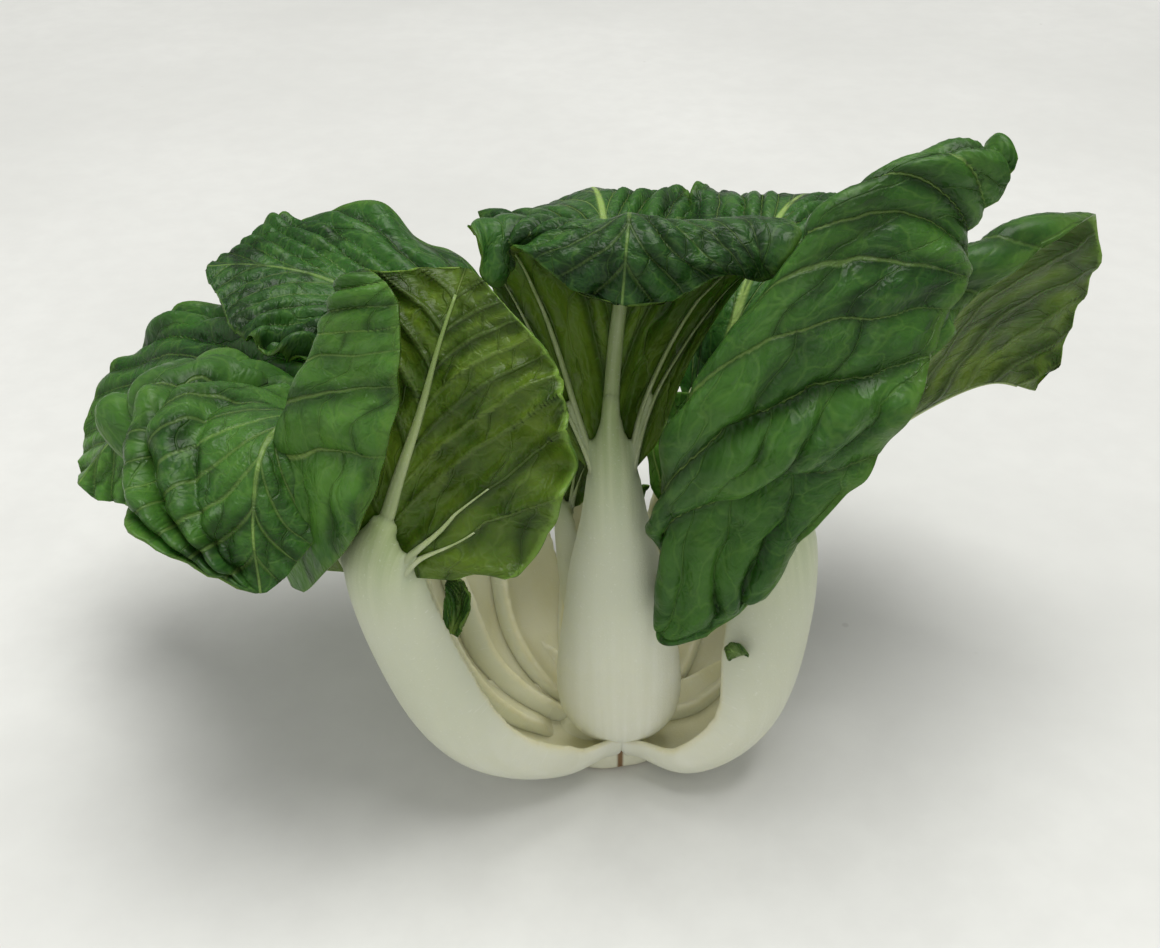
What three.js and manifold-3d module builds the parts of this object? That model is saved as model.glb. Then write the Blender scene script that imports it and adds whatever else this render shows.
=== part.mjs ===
// A head of bok choy that stands on its cut root end, its leaves bent outward and drooping.
// Millimetres. Z is up, the flat root end stands on z = 0, and the front leaf is on the -Y side.
import * as THREE from 'three';
import { mergeVertices } from 'three/addons/utils/BufferGeometryUtils.js';
import Module from 'manifold-3d';

const wasm = await Module();
wasm.setup();

// Driving dimensions
const BLADE_THICKNESS = 0.8;
const BLADE_START = 0.012;
const CLEARANCE = 0.35;
const MERGE_DISTANCE = 0.1;
const STALK_EDGE = 1.4;
const STALK_EDGE_POWER = 2.6;
const CROWN_OUTLINE = [[0, 0], [20, 0], [21.5, 2], [21, 6], [17, 13], [11, 20], [5, 24], [0, 25]];
const CROWN_SIDES = 24;
const STALK_CENTRE = [3, -5, 0];
const MIDRIB = [9, 6];
const SIDE_RIB = [7, 5.5];
const SIDE_RIB_START = 6.5;
const RIB_GAP = 1.1;
const RIB_STEP = 0.25;
const RIB_SHIFT = 0.8;
const RIB_ROOT = -0.04;
const RIB_TAPER = 0.78;
const RIB_SPREAD = 1.4;
const RIB_FLANK = 0.7;
const RIB_ROUND = 0.4;
const MIDRIB_END = 0.86;
const LEAF_TIP_HALF_WIDTH = 1.6;
const FIRST_PLACE = 0.005;
const SECOND_WAVE_HEIGHT = 0.5;
const SECOND_WAVE_COUNT = 1.7;
const WAVE_RISE_POWER = 3;

// Mesh steps
const BLADE_ROWS = 16;
const PLAIN_COLUMNS = 3;
const STALK_ROWS = 7;
const STALK_COLUMNS = 5;
const FOLD_STEPS = 24;
const FLAP_LEAST = 6;
const WELD_DISTANCE = 1e-4;
const SHORT_EDGE = 0.03;

// Colours
const WHITE_STALK = { color: 0xdde2cf, roughness: 0.38, metalness: 0 };
const PALE_CROWN = { color: 0xd8d6b8, roughness: 0.6, metalness: 0 };
const GREEN_BLADE = { color: 0x2f5a2a, roughness: 0.35, metalness: 0 };
const YOUNG_BLADE = { color: 0x5f8c37, roughness: 0.4, metalness: 0 };

// The leaves, from the outermost, which clasps the others, to the heart.
// path: points along the upper face of the stalk and then along the midrib, from where the stalks meet.
// stalkSteps: how many of the path's steps are stalk. facing: the compass angle that the back faces.
// twist: degrees about the path, spread along it. section: stalk width, thickness and hollow in degrees.
// outline: start, peak and blunt shape the half width. Right and left are as seen from outside.
// folds: rows from base to tip of lift, distance to the roll, length of the roll and its angle.
// sweep: degrees that the side leans toward the tip, from blade base to tip.
// wave: height, count and phase of the margin's waves. ribs: side ribs as end and reach.
const LEAVES = [
  {
    name: 'outer_left', facing: 215, stalkSteps: 4,
    path: [[-8, -7, 9], [-25, -13, 11.5], [-46, -24, 28], [-58, -31, 58], [-67, -33, 95], [-62, -32, 118],
      [-54, -27, 141], [-48, -20, 160], [-42, -8, 174]],
    twist: [0, 0, 5, 15, 30, 35, 35, 35, 35],
    section: [[34, 6, 130], [43, 11, 115], [35, 11, 95], [25, 8, 60]],
    outline: { start: 0.06, peak: 0.75, blunt: 0.5 },
    right: { width: 44, folds: [[0, 20, 10, 20], [0, 30, 10, 0], [-5, 30, 10, 0], [-10, 30, 15, 0]],
      sweep: [10, 10, 5, 0, -10], wave: [2.5, 4, 0.3], ribs: [[0.34, 0.62], [0.5, 0.6]] },
    left: { width: 74, columns: 'rolled', folds: [[0, 22, 17, -165], [0, 28, 17, -168], [0, 24, 17, -168],
      [0, 14, 15, -160]], sweep: [-10, 5, 5, 0, -10], wave: [2.5, 5, 0.1], ribs: [[0.2, 0.24]] },
  },
  {
    name: 'outer_right', facing: 345, stalkSteps: 4,
    path: [[8, -6, 9], [25, -10, 11.5], [41, -10, 29], [46, -7, 56], [46, -8, 84], [41, -12, 108],
      [43, -17, 135], [55, -11, 164], [74, 4, 184], [96, 20, 186]],
    twist: [0, 0, -5, -30, -50, -60, -60, -60, -60, -60],
    section: [[34, 6, 130], [43, 11, 115], [37, 11, 95], [26, 8, 60]],
    outline: { start: 0.12, peak: 0.85, blunt: 0.45 },
    right: { width: 44, folds: [[40, 20, 10, 20], [55, 40, 10, 0], [50, 40, 10, 0], [30, 40, 15, 0]],
      sweep: [10, 10, 5, 0, -10], wave: [2.5, 4, 0.6], ribs: [[0.3, 0.6]] },
    left: { width: 88, columns: 'rolled', folds: [[0, 38, 17, -160], [0, 27, 17, -165], [0, 20, 17, -165],
      [0, 12, 15, -160]], sweep: [-14, -8, 5, 0, -10], wave: [2.5, 5, 0.4], ribs: [[0.2, 0.24]] },
  },
  {
    name: 'rolled_left', facing: 245, stalkSteps: 4,
    path: [[-8, 1, 11], [-25, 4, 13.5], [-47, 5, 29], [-58, 4, 56], [-66, 3, 84], [-78, 2, 110],
      [-89, -8, 128], [-96, -26, 131], [-98, -41, 117], [-97, -48, 99]],
    twist: [-60, -60, -60, -45, -25, -25, -40],
    section: [[22, 6, 120], [36, 10, 110], [29, 9, 90], [21, 7, 60]],
    outline: { start: 0.03, peak: 0.9, blunt: 0.55 },
    right: { width: 34, columns: 3, folds: [[0, 20, 10, -20], [-10, 20, 10, -30], [-10, 18, 10, -60],
      [-10, 18, 10, -60]], sweep: [30, 20, 0, 0, 0], wave: [2, 4, 0.2], ribs: [[0.3, 0.5]] },
    left: { width: 64, columns: 5, folds: [[0, 20, 10, -20], [-16, 32, 15, -50], [-18, 30, 15, -80],
      [-18, 28, 15, -80]], sweep: [30, 20, 0, -6, -16], wave: [3, 4, 0.5], ribs: [[0.3, 0.5]] },
  },
  {
    name: 'left', facing: 170, stalkSteps: 4,
    path: [[-7, 4, 11], [-21, 9, 13], [-40, 15, 30], [-50, 19, 60], [-62, 27, 86], [-88, 33, 107],
      [-116, 38, 112], [-142, 45, 104], [-163, 47, 88], [-178, 44, 71]],
    twist: [0, 0, 0, -5, -15], section: [[20, 6, 120], [32, 10, 110], [27, 9, 90], [19, 7, 60]],
    outline: { start: 0.03, peak: 1, blunt: 0.4 },
    right: { width: 40, folds: [[0, 20, 10, 0], [-5, 30, 15, 0], [-20, 30, 15, 0], [-50, 30, 15, 0]],
      sweep: [30, 20, 5, 5, 0], wave: [3, 4, 0.2], ribs: [[0.36, 0.6]] },
    left: { width: 50, folds: [[0, 20, 10, 0], [4, 30, 15, 0], [8, 30, 15, 0], [10, 30, 15, 0]],
      sweep: [30, 20, 15, 12, 10], wave: [3, 4, 0.7], ribs: [[0.36, 0.6]] },
  },
  {
    name: 'right_back', facing: 30, stalkSteps: 4,
    path: [[8, 4, 10], [22, 11, 12.5], [39, 20, 29], [49, 28, 54], [60, 36, 71], [78, 46, 81],
      [100, 56, 92], [123, 64, 98], [143, 76, 88]],
    twist: [0, 0], section: [[20, 6, 120], [32, 10, 110], [27, 9, 90], [19, 7, 60]],
    outline: { start: 0.03, peak: 0.9, blunt: 0.5 },
    right: { width: 44, folds: [[0, 20, 10, 0], [20, 30, 15, 0], [20, 30, 15, 0], [20, 30, 15, 0]],
      sweep: [20, 15, 10, 10, 10], wave: [3, 4, 0.1], ribs: [[0.36, 0.6]] },
    left: { width: 82, columns: 'rolled', folds: [[40, 34, 15, 0], [80, 50, 15, -120], [84, 55, 15, -150],
      [80, 48, 15, -120]], sweep: [20, 15, 10, 10, 10], wave: [2, 4, 0.5], ribs: [[0.36, 0.45]] },
  },
  {
    name: 'front', facing: 270, stalkSteps: 4,
    path: [[0, -4, 17], [0, -11, 23], [-1, -13, 50], [-2, -10, 78], [-3, -6, 104], [-4, -2, 125], [-3, 2, 146],
      [-1, 5, 165], [0, 5, 180], [0, -4, 187], [-1, -15, 182], [-2, -19, 169]],
    twist: [0, 0], section: [[32, 7, 110], [41, 12, 90], [31, 11, 75], [20, 8, 60]],
    outline: { start: 0.03, peak: 1.0, blunt: 0.3 },
    right: { width: 46, columns: 4, folds: [[0, 20, 10, 10], [6, 22, 10, 5], [1, 27, 13, -27],
      [-11, 26, 15, -47], [-12, 26, 15, -50]], sweep: [50, 36, 16, 6, 0], wave: [2, 5, 0.3],
      ribs: [[0.5, 0.62], [0.6, 0.5]] },
    left: { width: 46, columns: 4, folds: [[0, 20, 10, 10], [6, 22, 10, 5], [1, 27, 13, -27],
      [-16, 26, 15, -47], [-18, 26, 15, -50]], sweep: [50, 32, 11, 1, -5], wave: [2, 5, 0.8],
      ribs: [[0.5, 0.62], [0.6, 0.5]] },
  },
  {
    name: 'back_left', facing: 105, stalkSteps: 4,
    path: [[-3, 7, 11], [-5, 20, 13], [-6, 33, 32], [-6, 37, 68], [-5, 44, 100], [-4, 58, 130],
      [-5, 82, 148], [-8, 108, 148], [-11, 130, 132], [-13, 144, 106]],
    twist: [0, 0], section: [[20, 6, 120], [32, 10, 110], [26, 9, 90], [19, 7, 60]],
    outline: { start: 0.03, peak: 0.9, blunt: 0.5 },
    right: { width: 40, folds: [[0, 20, 10, 0], [-8, 30, 15, 0], [-12, 30, 15, -20], [-12, 30, 15, -20]],
      sweep: [30, 20, 5, 0, 0], wave: [3, 4, 0.4], ribs: [[0.36, 0.6]] },
    left: { width: 34, folds: [[0, 20, 10, 0], [-10, 30, 15, 0], [-10, 30, 15, -20], [-10, 30, 15, -20]],
      sweep: [30, 20, 5, 0, 0], wave: [3, 4, 0.9], ribs: [[0.36, 0.6]] },
  },
  {
    name: 'upper_left', facing: 138, stalkSteps: 4,
    path: [[-6, 6, 12], [-15, 14, 15], [-28, 25, 33], [-34, 34, 60], [-42, 44, 86], [-56, 60, 107],
      [-77, 75, 120], [-100, 84, 127], [-121, 88, 129], [-137, 89, 128]],
    twist: [0, 0], section: [[20, 6, 120], [30, 10, 110], [25, 9, 90], [18, 7, 60]],
    outline: { start: 0.03, peak: 0.9, blunt: 0.5 },
    right: { width: 40, folds: [[0, 20, 10, 0], [0, 30, 15, 0], [-10, 30, 15, 0], [-20, 30, 15, 0]],
      sweep: [30, 20, 5, 0, 0], wave: [3, 4, 0.6], ribs: [[0.36, 0.6]] },
    left: { width: 40, folds: [[0, 20, 10, 0], [6, 30, 15, 0], [4, 30, 15, -20], [0, 30, 15, -20]],
      sweep: [30, 20, 15, 10, 0], wave: [3, 4, 0.1], ribs: [[0.36, 0.6]] },
  },
  {
    name: 'back_right', facing: 65, stalkSteps: 4,
    path: [[4, 7, 11], [9, 18, 13], [17, 30, 32], [22, 33, 68], [28, 40, 99], [37, 54, 131], [49, 78, 147],
      [62, 102, 148], [74, 124, 134], [81, 137, 111]],
    twist: [0, 0], section: [[20, 6, 120], [32, 10, 110], [26, 9, 90], [19, 7, 60]],
    outline: { start: 0.03, peak: 0.9, blunt: 0.5 },
    right: { width: 35, folds: [[0, 20, 10, 0], [-6, 30, 15, 0], [-8, 30, 15, -10], [-8, 30, 15, -10]],
      sweep: [30, 20, 5, 0, 0], wave: [3, 4, 0.2], ribs: [[0.36, 0.6]] },
    left: { width: 44, folds: [[0, 20, 10, 0], [0, 30, 15, 0], [0, 30, 15, -20], [0, 30, 15, -20]],
      sweep: [30, 20, 5, 0, 0], wave: [3, 4, 0.7], ribs: [[0.36, 0.6]] },
  },
  {
    name: 'heart_left', facing: 190, stalkSteps: 3, stalkRows: 4, rows: 8, size: 0.5,
    path: [[-3, 4, 22], [-10, 8, 40], [-14, 12, 62], [-17, 15, 82], [-20, 18, 96], [-25, 20, 108],
      [-32, 22, 114]],
    twist: [0, 0], section: [[12, 4, 120], [18, 6, 110], [12, 4, 70]],
    outline: { start: 0.03, peak: 0.9, blunt: 0.5 },
    right: { width: 22, columns: 2, folds: [[40, 20, 10, 0], [40, 30, 15, 0], [20, 30, 15, 0]],
      sweep: [30, 20, 0], wave: [1.5, 3, 0.2], ribs: [] },
    left: { width: 22, columns: 2, folds: [[40, 20, 10, 0], [40, 30, 15, 0], [20, 30, 15, 0]],
      sweep: [30, 20, 0], wave: [1.5, 3, 0.7], ribs: [] },
  },
  {
    name: 'heart_right', facing: 10, stalkSteps: 3, stalkRows: 4, rows: 8, size: 0.5,
    path: [[4, 4, 22], [10, 8, 40], [14, 13, 60], [17, 16, 78], [20, 18, 92], [25, 20, 103], [32, 22, 108]],
    twist: [0, 0], section: [[12, 4, 120], [18, 6, 110], [12, 4, 70]],
    outline: { start: 0.03, peak: 0.9, blunt: 0.5 },
    right: { width: 20, columns: 2, folds: [[40, 20, 10, 0], [40, 30, 15, 0], [20, 30, 15, 0]],
      sweep: [30, 20, 0], wave: [1.5, 3, 0.1], ribs: [] },
    left: { width: 20, columns: 2, folds: [[40, 20, 10, 0], [40, 30, 15, 0], [20, 30, 15, 0]],
      sweep: [30, 20, 0], wave: [1.5, 3, 0.6], ribs: [] },
  },
  {
    name: 'heart_middle', facing: 280, stalkSteps: 3, stalkRows: 4, rows: 8, size: 0.4,
    path: [[0, 4, 23], [0, 6, 38], [0, 8, 52], [0, 10, 66], [1, 11, 80], [2, 11, 92]],
    twist: [0, 0], section: [[8, 4, 100], [12, 5, 100], [9, 4, 70]],
    outline: { start: 0.03, peak: 0.9, blunt: 0.5 },
    right: { width: 14, columns: 2, folds: [[50, 20, 10, 0], [50, 30, 15, 0], [30, 30, 15, 0]],
      sweep: [30, 20, 0], wave: [1, 3, 0.4], ribs: [] },
    left: { width: 14, columns: 2, folds: [[50, 20, 10, 0], [50, 30, 15, 0], [30, 30, 15, 0]],
      sweep: [30, 20, 0], wave: [1, 3, 0.9], ribs: [] },
  },
];

// Two tiny leaflets without a stalk of their own, each beside the stalk that it grew on
const LEAFLETS = [
  {
    name: 'leaflet_left', facing: 70, stalkSteps: 0, rows: 5,
    path: [[-49.5, -28, 68], [-47.5, -26, 73], [-46.5, -24, 79], [-47.5, -23, 84], [-50.5, -24, 87]],
    twist: [0, 0], outline: { start: 0.1, peak: 0.9, blunt: 0.6 },
    right: { width: 5, columns: 2, folds: [[30, 3, 2, 20], [30, 3, 2, 20]],
      sweep: [10, 0], wave: [0.3, 2, 0.2] },
    left: { width: 5, columns: 2, folds: [[30, 3, 2, 20], [30, 3, 2, 20]],
      sweep: [10, 0], wave: [0.3, 2, 0.7] },
  },
  {
    name: 'leaflet_right', facing: 100, stalkSteps: 0, rows: 4,
    path: [[35.5, -20.6, 53.4], [34.4, -21.8, 55], [32.4, -22.2, 56.4], [30.2, -21.8, 57]],
    twist: [0, 0], outline: { start: 0.15, peak: 0.9, blunt: 0.6 },
    right: { width: 3.4, columns: 2, folds: [[10, 2, 1, 10], [10, 2, 1, 10]],
      sweep: [10, 0], wave: [0.2, 2, 0.2] },
    left: { width: 3.4, columns: 2, folds: [[10, 2, 1, 10], [10, 2, 1, 10]],
      sweep: [10, 0], wave: [0.2, 2, 0.7] },
  },
];

const radians = (degrees) => THREE.MathUtils.degToRad(degrees);
const smooth = (x) => THREE.MathUtils.smoothstep(x, 0, 1);

// A value on the smooth curve through a list of rows, at t from 0 to 1
function alongRows(rows, t) {
  const last = rows.length - 1;
  const place = THREE.MathUtils.clamp(t, 0, 1) * last;
  const i = Math.min(Math.floor(place), last - 1);
  const f = place - i;
  return rows[i].map((value, k) => {
    const next = rows[i + 1][k];
    const before = i > 0 ? rows[i - 1][k] : 2 * value - next;
    const after = i + 2 <= last ? rows[i + 2][k] : 2 * next - value;
    const leave = (next - before) / 2;
    const arrive = (after - value) / 2;
    const f2 = f * f;
    const f3 = f2 * f;
    return (2 * f3 - 3 * f2 + 1) * value + (f3 - 2 * f2 + f) * leave
      + (-2 * f3 + 3 * f2) * next + (f3 - f2) * arrive;
  });
}

const alongList = (list, t) => alongRows(list.map((value) => [value]), t)[0];
const pathPoint = (leaf, t) => (
  new THREE.Vector3(...alongRows(leaf.path, t)).add(new THREE.Vector3(...STALK_CENTRE))
);

// The point, direction, sideways direction and upper-face direction of a leaf's path at t
function frameAt(leaf, t) {
  const step = 0.001;
  const point = pathPoint(leaf, t);
  const ahead = pathPoint(leaf, Math.min(t + step, 1));
  const along = ahead.sub(pathPoint(leaf, Math.max(t - step, 0))).normalize();
  const angle = radians(leaf.facing);
  const side = new THREE.Vector3(-Math.sin(angle), Math.cos(angle), 0);
  side.addScaledVector(along, -side.dot(along)).normalize();
  const twist = radians(alongList(leaf.twist, t));
  side.applyAxisAngle(along, twist);
  const up = new THREE.Vector3().crossVectors(along, side);
  return { point, along, side, up };
}

const stalkEnd = (leaf) => leaf.stalkSteps / (leaf.path.length - 1);

// Half width of one side of the blade at u, from 0 at its base to 1 at its tip
function halfWidth(leaf, side, u) {
  const { start, peak, blunt } = leaf.outline;
  const place = Math.max(start + (1 - start) * u, FIRST_PLACE);
  const wide = Math.max(Math.sin(Math.PI * place ** peak), 0) ** blunt;
  return Math.max(side.width * wide, LEAF_TIP_HALF_WIDTH);
}

// The blade's cross line at u on one side, as points, face directions and distances from the midrib
function bladeProfile(leaf, sign, u, beyond = 0) {
  const side = sign > 0 ? leaf.right : leaf.left;
  const start = stalkEnd(leaf);
  const frame = frameAt(leaf, start + (1 - start) * u);
  const sweep = radians(alongList(side.sweep, u));
  const across = frame.side.clone().multiplyScalar(sign * Math.cos(sweep));
  across.addScaledVector(frame.along, Math.sin(sweep));
  const half = halfWidth(leaf, side, u) + beyond;
  const [lift, at, over, bend] = alongRows(side.folds, u);
  const angleAt = (s) => radians(lift + bend * smooth((s - at) / Math.max(over, 1)));
  const [height, count, phase] = side.wave;
  const turn = 2 * Math.PI * count * u;
  const ripple = Math.sin(turn + 2 * Math.PI * phase);
  const secondRipple = SECOND_WAVE_HEIGHT * Math.sin(SECOND_WAVE_COUNT * turn);
  const wave = height * (ripple + secondRipple) * Math.sin(Math.PI * u);
  const samples = [];
  let out = 0;
  let rise = 0;
  for (let k = 0; k <= FOLD_STEPS; k += 1) {
    const s = (half * k) / FOLD_STEPS;
    if (k > 0) {
      const before = angleAt((half * (k - 1)) / FOLD_STEPS);
      out += ((Math.cos(before) + Math.cos(angleAt(s))) / 2) * (half / FOLD_STEPS);
      rise += ((Math.sin(before) + Math.sin(angleAt(s))) / 2) * (half / FOLD_STEPS);
    }
    const angle = angleAt(s);
    const face = frame.up.clone().multiplyScalar(Math.cos(angle)).addScaledVector(across, -Math.sin(angle));
    const point = frame.point.clone().addScaledVector(across, out).addScaledVector(frame.up, rise);
    point.addScaledVector(face, wave * (k / FOLD_STEPS) ** WAVE_RISE_POWER);
    samples.push({ s, point, face });
  }
  return { samples, half, at, over };
}

// The place on one side of the blade that is s millimetres from the midrib
function bladePoint(profile, s) {
  const place = THREE.MathUtils.clamp(s / profile.half, 0, 1) * FOLD_STEPS;
  const i = Math.min(Math.floor(place), FOLD_STEPS - 1);
  const from = profile.samples[i];
  const to = profile.samples[i + 1];
  return {
    point: from.point.clone().lerp(to.point, place - i),
    face: from.face.clone().lerp(to.face, place - i).normalize(),
  };
}

// A blade's cross line at u as corners of the mesh, from the left margin to the right one
function crossLine(leaf, u, beyond = 0) {
  const right = bladeProfile(leaf, 1, u, beyond);
  const left = bladeProfile(leaf, -1, u, beyond);
  const corner = (profile, sign, s) => ({ at: sign * s, ...bladePoint(profile, s) });
  return [
    ...columnPlaces(left, leaf.left.columns).reverse().map((s) => corner(left, -1, s)),
    corner(right, 1, 0),
    ...columnPlaces(right, leaf.right.columns).map((s) => corner(right, 1, s)),
  ];
}

const lift = ({ point, face }, distance) => point.clone().addScaledVector(face, distance);

// The place on a cross line that is s millimetres from the midrib, negative on the left
function onLine(line, s) {
  const next = THREE.MathUtils.clamp(line.findIndex((corner) => corner.at >= s), 1, line.length - 1);
  const from = line[next - 1];
  const to = line[next];
  const f = (s - from.at) / (to.at - from.at);
  return {
    point: from.point.clone().lerp(to.point, f),
    face: from.face.clone().lerp(to.face, f).normalize(),
  };
}

// Where the columns of the mesh lie on one side: a number of even ones, or close together on the roll
function columnPlaces(profile, columns) {
  if (columns !== 'rolled') {
    const count = columns ?? PLAIN_COLUMNS;
    return Array.from({ length: count }, (_, k) => (profile.half * (k + 1)) / count);
  }
  const { half, at, over } = profile;
  const full = Math.max(half, at + over + FLAP_LEAST);
  const end = at + over;
  const places = [at / 2, at, at + over / 4, at + over / 2, at + over * 0.75, end, (end + full) / 2, full];
  return places.map((s) => (s * half) / full);
}

// A closed solid between an upper and a lower grid of points, split into triangles alike on both
function slab(upper, lower) {
  const rows = upper.length;
  const columns = upper[0].length;
  const positions = [];
  [upper, lower].forEach((grid) => grid.forEach((row) => row.forEach((p) => positions.push(p.x, p.y, p.z))));
  const index = [];
  const top = (i, j) => i * columns + j;
  const bottom = (i, j) => rows * columns + i * columns + j;
  const quad = (a, b, c, d) => index.push(a, c, b, a, d, c);
  for (let i = 0; i < rows - 1; i += 1) {
    for (let j = 0; j < columns - 1; j += 1) {
      quad(top(i, j), top(i, j + 1), top(i + 1, j + 1), top(i + 1, j));
      index.push(bottom(i, j), bottom(i, j + 1), bottom(i + 1, j + 1));
      index.push(bottom(i, j), bottom(i + 1, j + 1), bottom(i + 1, j));
    }
    quad(top(i, 0), top(i + 1, 0), bottom(i + 1, 0), bottom(i, 0));
    quad(top(i, columns - 1), bottom(i, columns - 1), bottom(i + 1, columns - 1), top(i + 1, columns - 1));
  }
  for (let j = 0; j < columns - 1; j += 1) {
    quad(top(0, j), bottom(0, j), bottom(0, j + 1), top(0, j + 1));
    quad(top(rows - 1, j), top(rows - 1, j + 1), bottom(rows - 1, j + 1), bottom(rows - 1, j));
  }
  return toSolid(new Float32Array(positions), new Uint32Array(index));
}

const toSolid = (vertProperties, triVerts) => (
  new wasm.Manifold(new wasm.Mesh({ numProp: 3, vertProperties, triVerts }))
);

// Where the rows of a blade's mesh lie
function bladeRows(leaf) {
  const rows = leaf.rows ?? BLADE_ROWS;
  return Array.from({ length: rows + 1 }, (_, i) => BLADE_START + ((1 - BLADE_START) * i) / rows);
}

// The green blade: a thin sheet from its base to its tip
function bladeSolid(leaf, grow = 0) {
  const half = BLADE_THICKNESS / 2 + grow;
  const lines = bladeRows(leaf).map((u) => crossLine(leaf, u, grow));
  return slab(
    lines.map((line) => line.map((corner) => lift(corner, half))),
    lines.map((line) => line.map((corner) => lift(corner, -half))),
  );
}

// The white stalk below the blade: a channel, hollow on its upper face and thick along its middle
function channelSolid(leaf, grow = 0) {
  const end = stalkEnd(leaf);
  const rows = leaf.stalkRows ?? STALK_ROWS;
  const upper = [];
  const lower = [];
  for (let i = 0; i <= rows; i += 1) {
    const t = (end * i) / rows;
    const frame = frameAt(leaf, t);
    const [width, thickness, hollow] = alongRows(leaf.section, i / rows);
    const bend = radians(hollow);
    const radius = width / bend;
    const upperRow = [];
    const lowerRow = [];
    for (let j = 0; j <= STALK_COLUMNS; j += 1) {
      const x = (2 * j) / STALK_COLUMNS - 1;
      const angle = (x * (bend + (2 * grow) / radius)) / 2;
      const thick = STALK_EDGE + (thickness - STALK_EDGE) * (1 - Math.abs(x) ** STALK_EDGE_POWER);
      const at = (r) => frame.point.clone()
        .addScaledVector(frame.side, r * Math.sin(angle))
        .addScaledVector(frame.up, radius - r * Math.cos(angle));
      upperRow.push(at(radius - grow));
      lowerRow.push(at(radius + thick + grow));
    }
    upper.push(upperRow);
    lower.push(lowerRow);
  }
  return slab(upper, lower);
}

// A rib under the blade: it starts inside the stalk and runs out from the midrib to u = to.
// Its order, 0 for the midrib, keeps its faces off those of the other ribs.
function ribSolid(leaf, sign, to, reach, order) {
  const size = leaf.size ?? 1;
  const [width, depth] = order > 0 ? SIDE_RIB : MIDRIB;
  const under = -(BLADE_THICKNESS / 2 + RIB_GAP + RIB_STEP * order);
  const start = (SIDE_RIB_START + RIB_SHIFT * (order - 1)) * size;
  const rows = [RIB_ROOT, ...bladeRows(leaf).filter((u, i) => i % 2 === 0 && u <= to)];
  const upper = [];
  const lower = [];
  rows.forEach((u, i) => {
    const f = i / (rows.length - 1);
    const line = crossLine(leaf, u);
    const full = Math.abs(line[sign > 0 ? line.length - 1 : 0].at);
    const middle = order > 0 ? sign * (start + full * reach * f ** RIB_SPREAD) : 0;
    const half = (width * size * (1 - RIB_TAPER * f)) / 2;
    const deep = depth * size * (1 - RIB_TAPER * f);
    upper.push([-1, 0, 1].map((x) => lift(onLine(line, middle + half * x), under)));
    lower.push([-1, 0, 1].map((x) => (
      lift(onLine(line, middle + half * RIB_FLANK * x), under - deep * (1 - RIB_ROUND * Math.abs(x)))
    )));
  });
  return slab(upper, lower);
}

// The midrib and the side ribs of a leaf
function ribSolids(leaf) {
  let solid = ribSolid(leaf, 1, MIDRIB_END, 0, 0);
  [[1, leaf.right], [-1, leaf.left]].forEach(([sign, side]) => {
    side.ribs.forEach(([to, reach], i) => {
      solid = solid.add(ribSolid(leaf, sign, to, reach, i + 1));
    });
  });
  return solid;
}

function crownSolid(grow = 0) {
  const outline = CROWN_OUTLINE.map(([x, y]) => (
    new THREE.Vector2(x > 0 ? x + grow : 0, y + (y > 0 ? grow : -grow))
  ));
  const lathe = new THREE.LatheGeometry(outline, CROWN_SIDES);
  lathe.rotateX(Math.PI / 2);
  lathe.deleteAttribute('normal');
  lathe.deleteAttribute('uv');
  const closed = mergeVertices(lathe, WELD_DISTANCE);
  return toSolid(closed.attributes.position.array, new Uint32Array(closed.index.array));
}

// The largest body of a solid, so that no loose scrap is kept
function largestBody(solid) {
  const bodies = solid.decompose();
  bodies.sort((a, b) => b.volume() - a.volume());
  return bodies[0];
}

// The first edge shorter than SHORT_EDGE whose ends can be merged without pinching the surface
function shortEdge(triangles, corner) {
  const beside = new Map();
  triangles.forEach((triangle) => triangle.forEach((v) => {
    beside.set(v, new Set([...(beside.get(v) ?? []), ...triangle]));
  }));
  for (const triangle of triangles) {
    for (let k = 0; k < 3; k += 1) {
      const edge = [triangle[k], triangle[(k + 1) % 3]];
      const shared = [...beside.get(edge[0])].filter((v) => beside.get(edge[1]).has(v) && !edge.includes(v));
      if (corner(edge[0]).distanceTo(corner(edge[1])) < SHORT_EDGE && shared.length === 2) return edge;
    }
  }
  return null;
}

// The same solid with its shortest edges merged away
function withoutShortEdges(solid) {
  const { vertProperties, triVerts } = solid.getMesh();
  const corner = (v) => new THREE.Vector3().fromArray(vertProperties, 3 * v);
  const count = triVerts.length / 3;
  let triangles = Array.from({ length: count }, (_, i) => [...triVerts.slice(3 * i, 3 * i + 3)]);
  let edge = shortEdge(triangles, corner);
  while (edge) {
    const [kept, merged] = edge;
    triangles = triangles.map((triangle) => triangle.map((v) => (v === merged ? kept : v)));
    triangles = triangles.filter((triangle) => new Set(triangle).size === 3);
    edge = shortEdge(triangles, corner);
  }
  return toSolid(vertProperties, new Uint32Array(triangles.flat()));
}

function toMesh(name, solid, finish) {
  const { vertProperties, triVerts } = solid.getMesh();
  const geometry = new THREE.BufferGeometry();
  geometry.setAttribute('position', new THREE.BufferAttribute(vertProperties, 3));
  geometry.setIndex(new THREE.BufferAttribute(triVerts, 1));
  const mesh = new THREE.Mesh(geometry, new THREE.MeshStandardMaterial(finish));
  mesh.name = name;
  return mesh;
}

const head = new THREE.Group();
head.name = 'bok_choy';
head.add(toMesh('crown', crownSolid(), PALE_CROWN));

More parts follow.
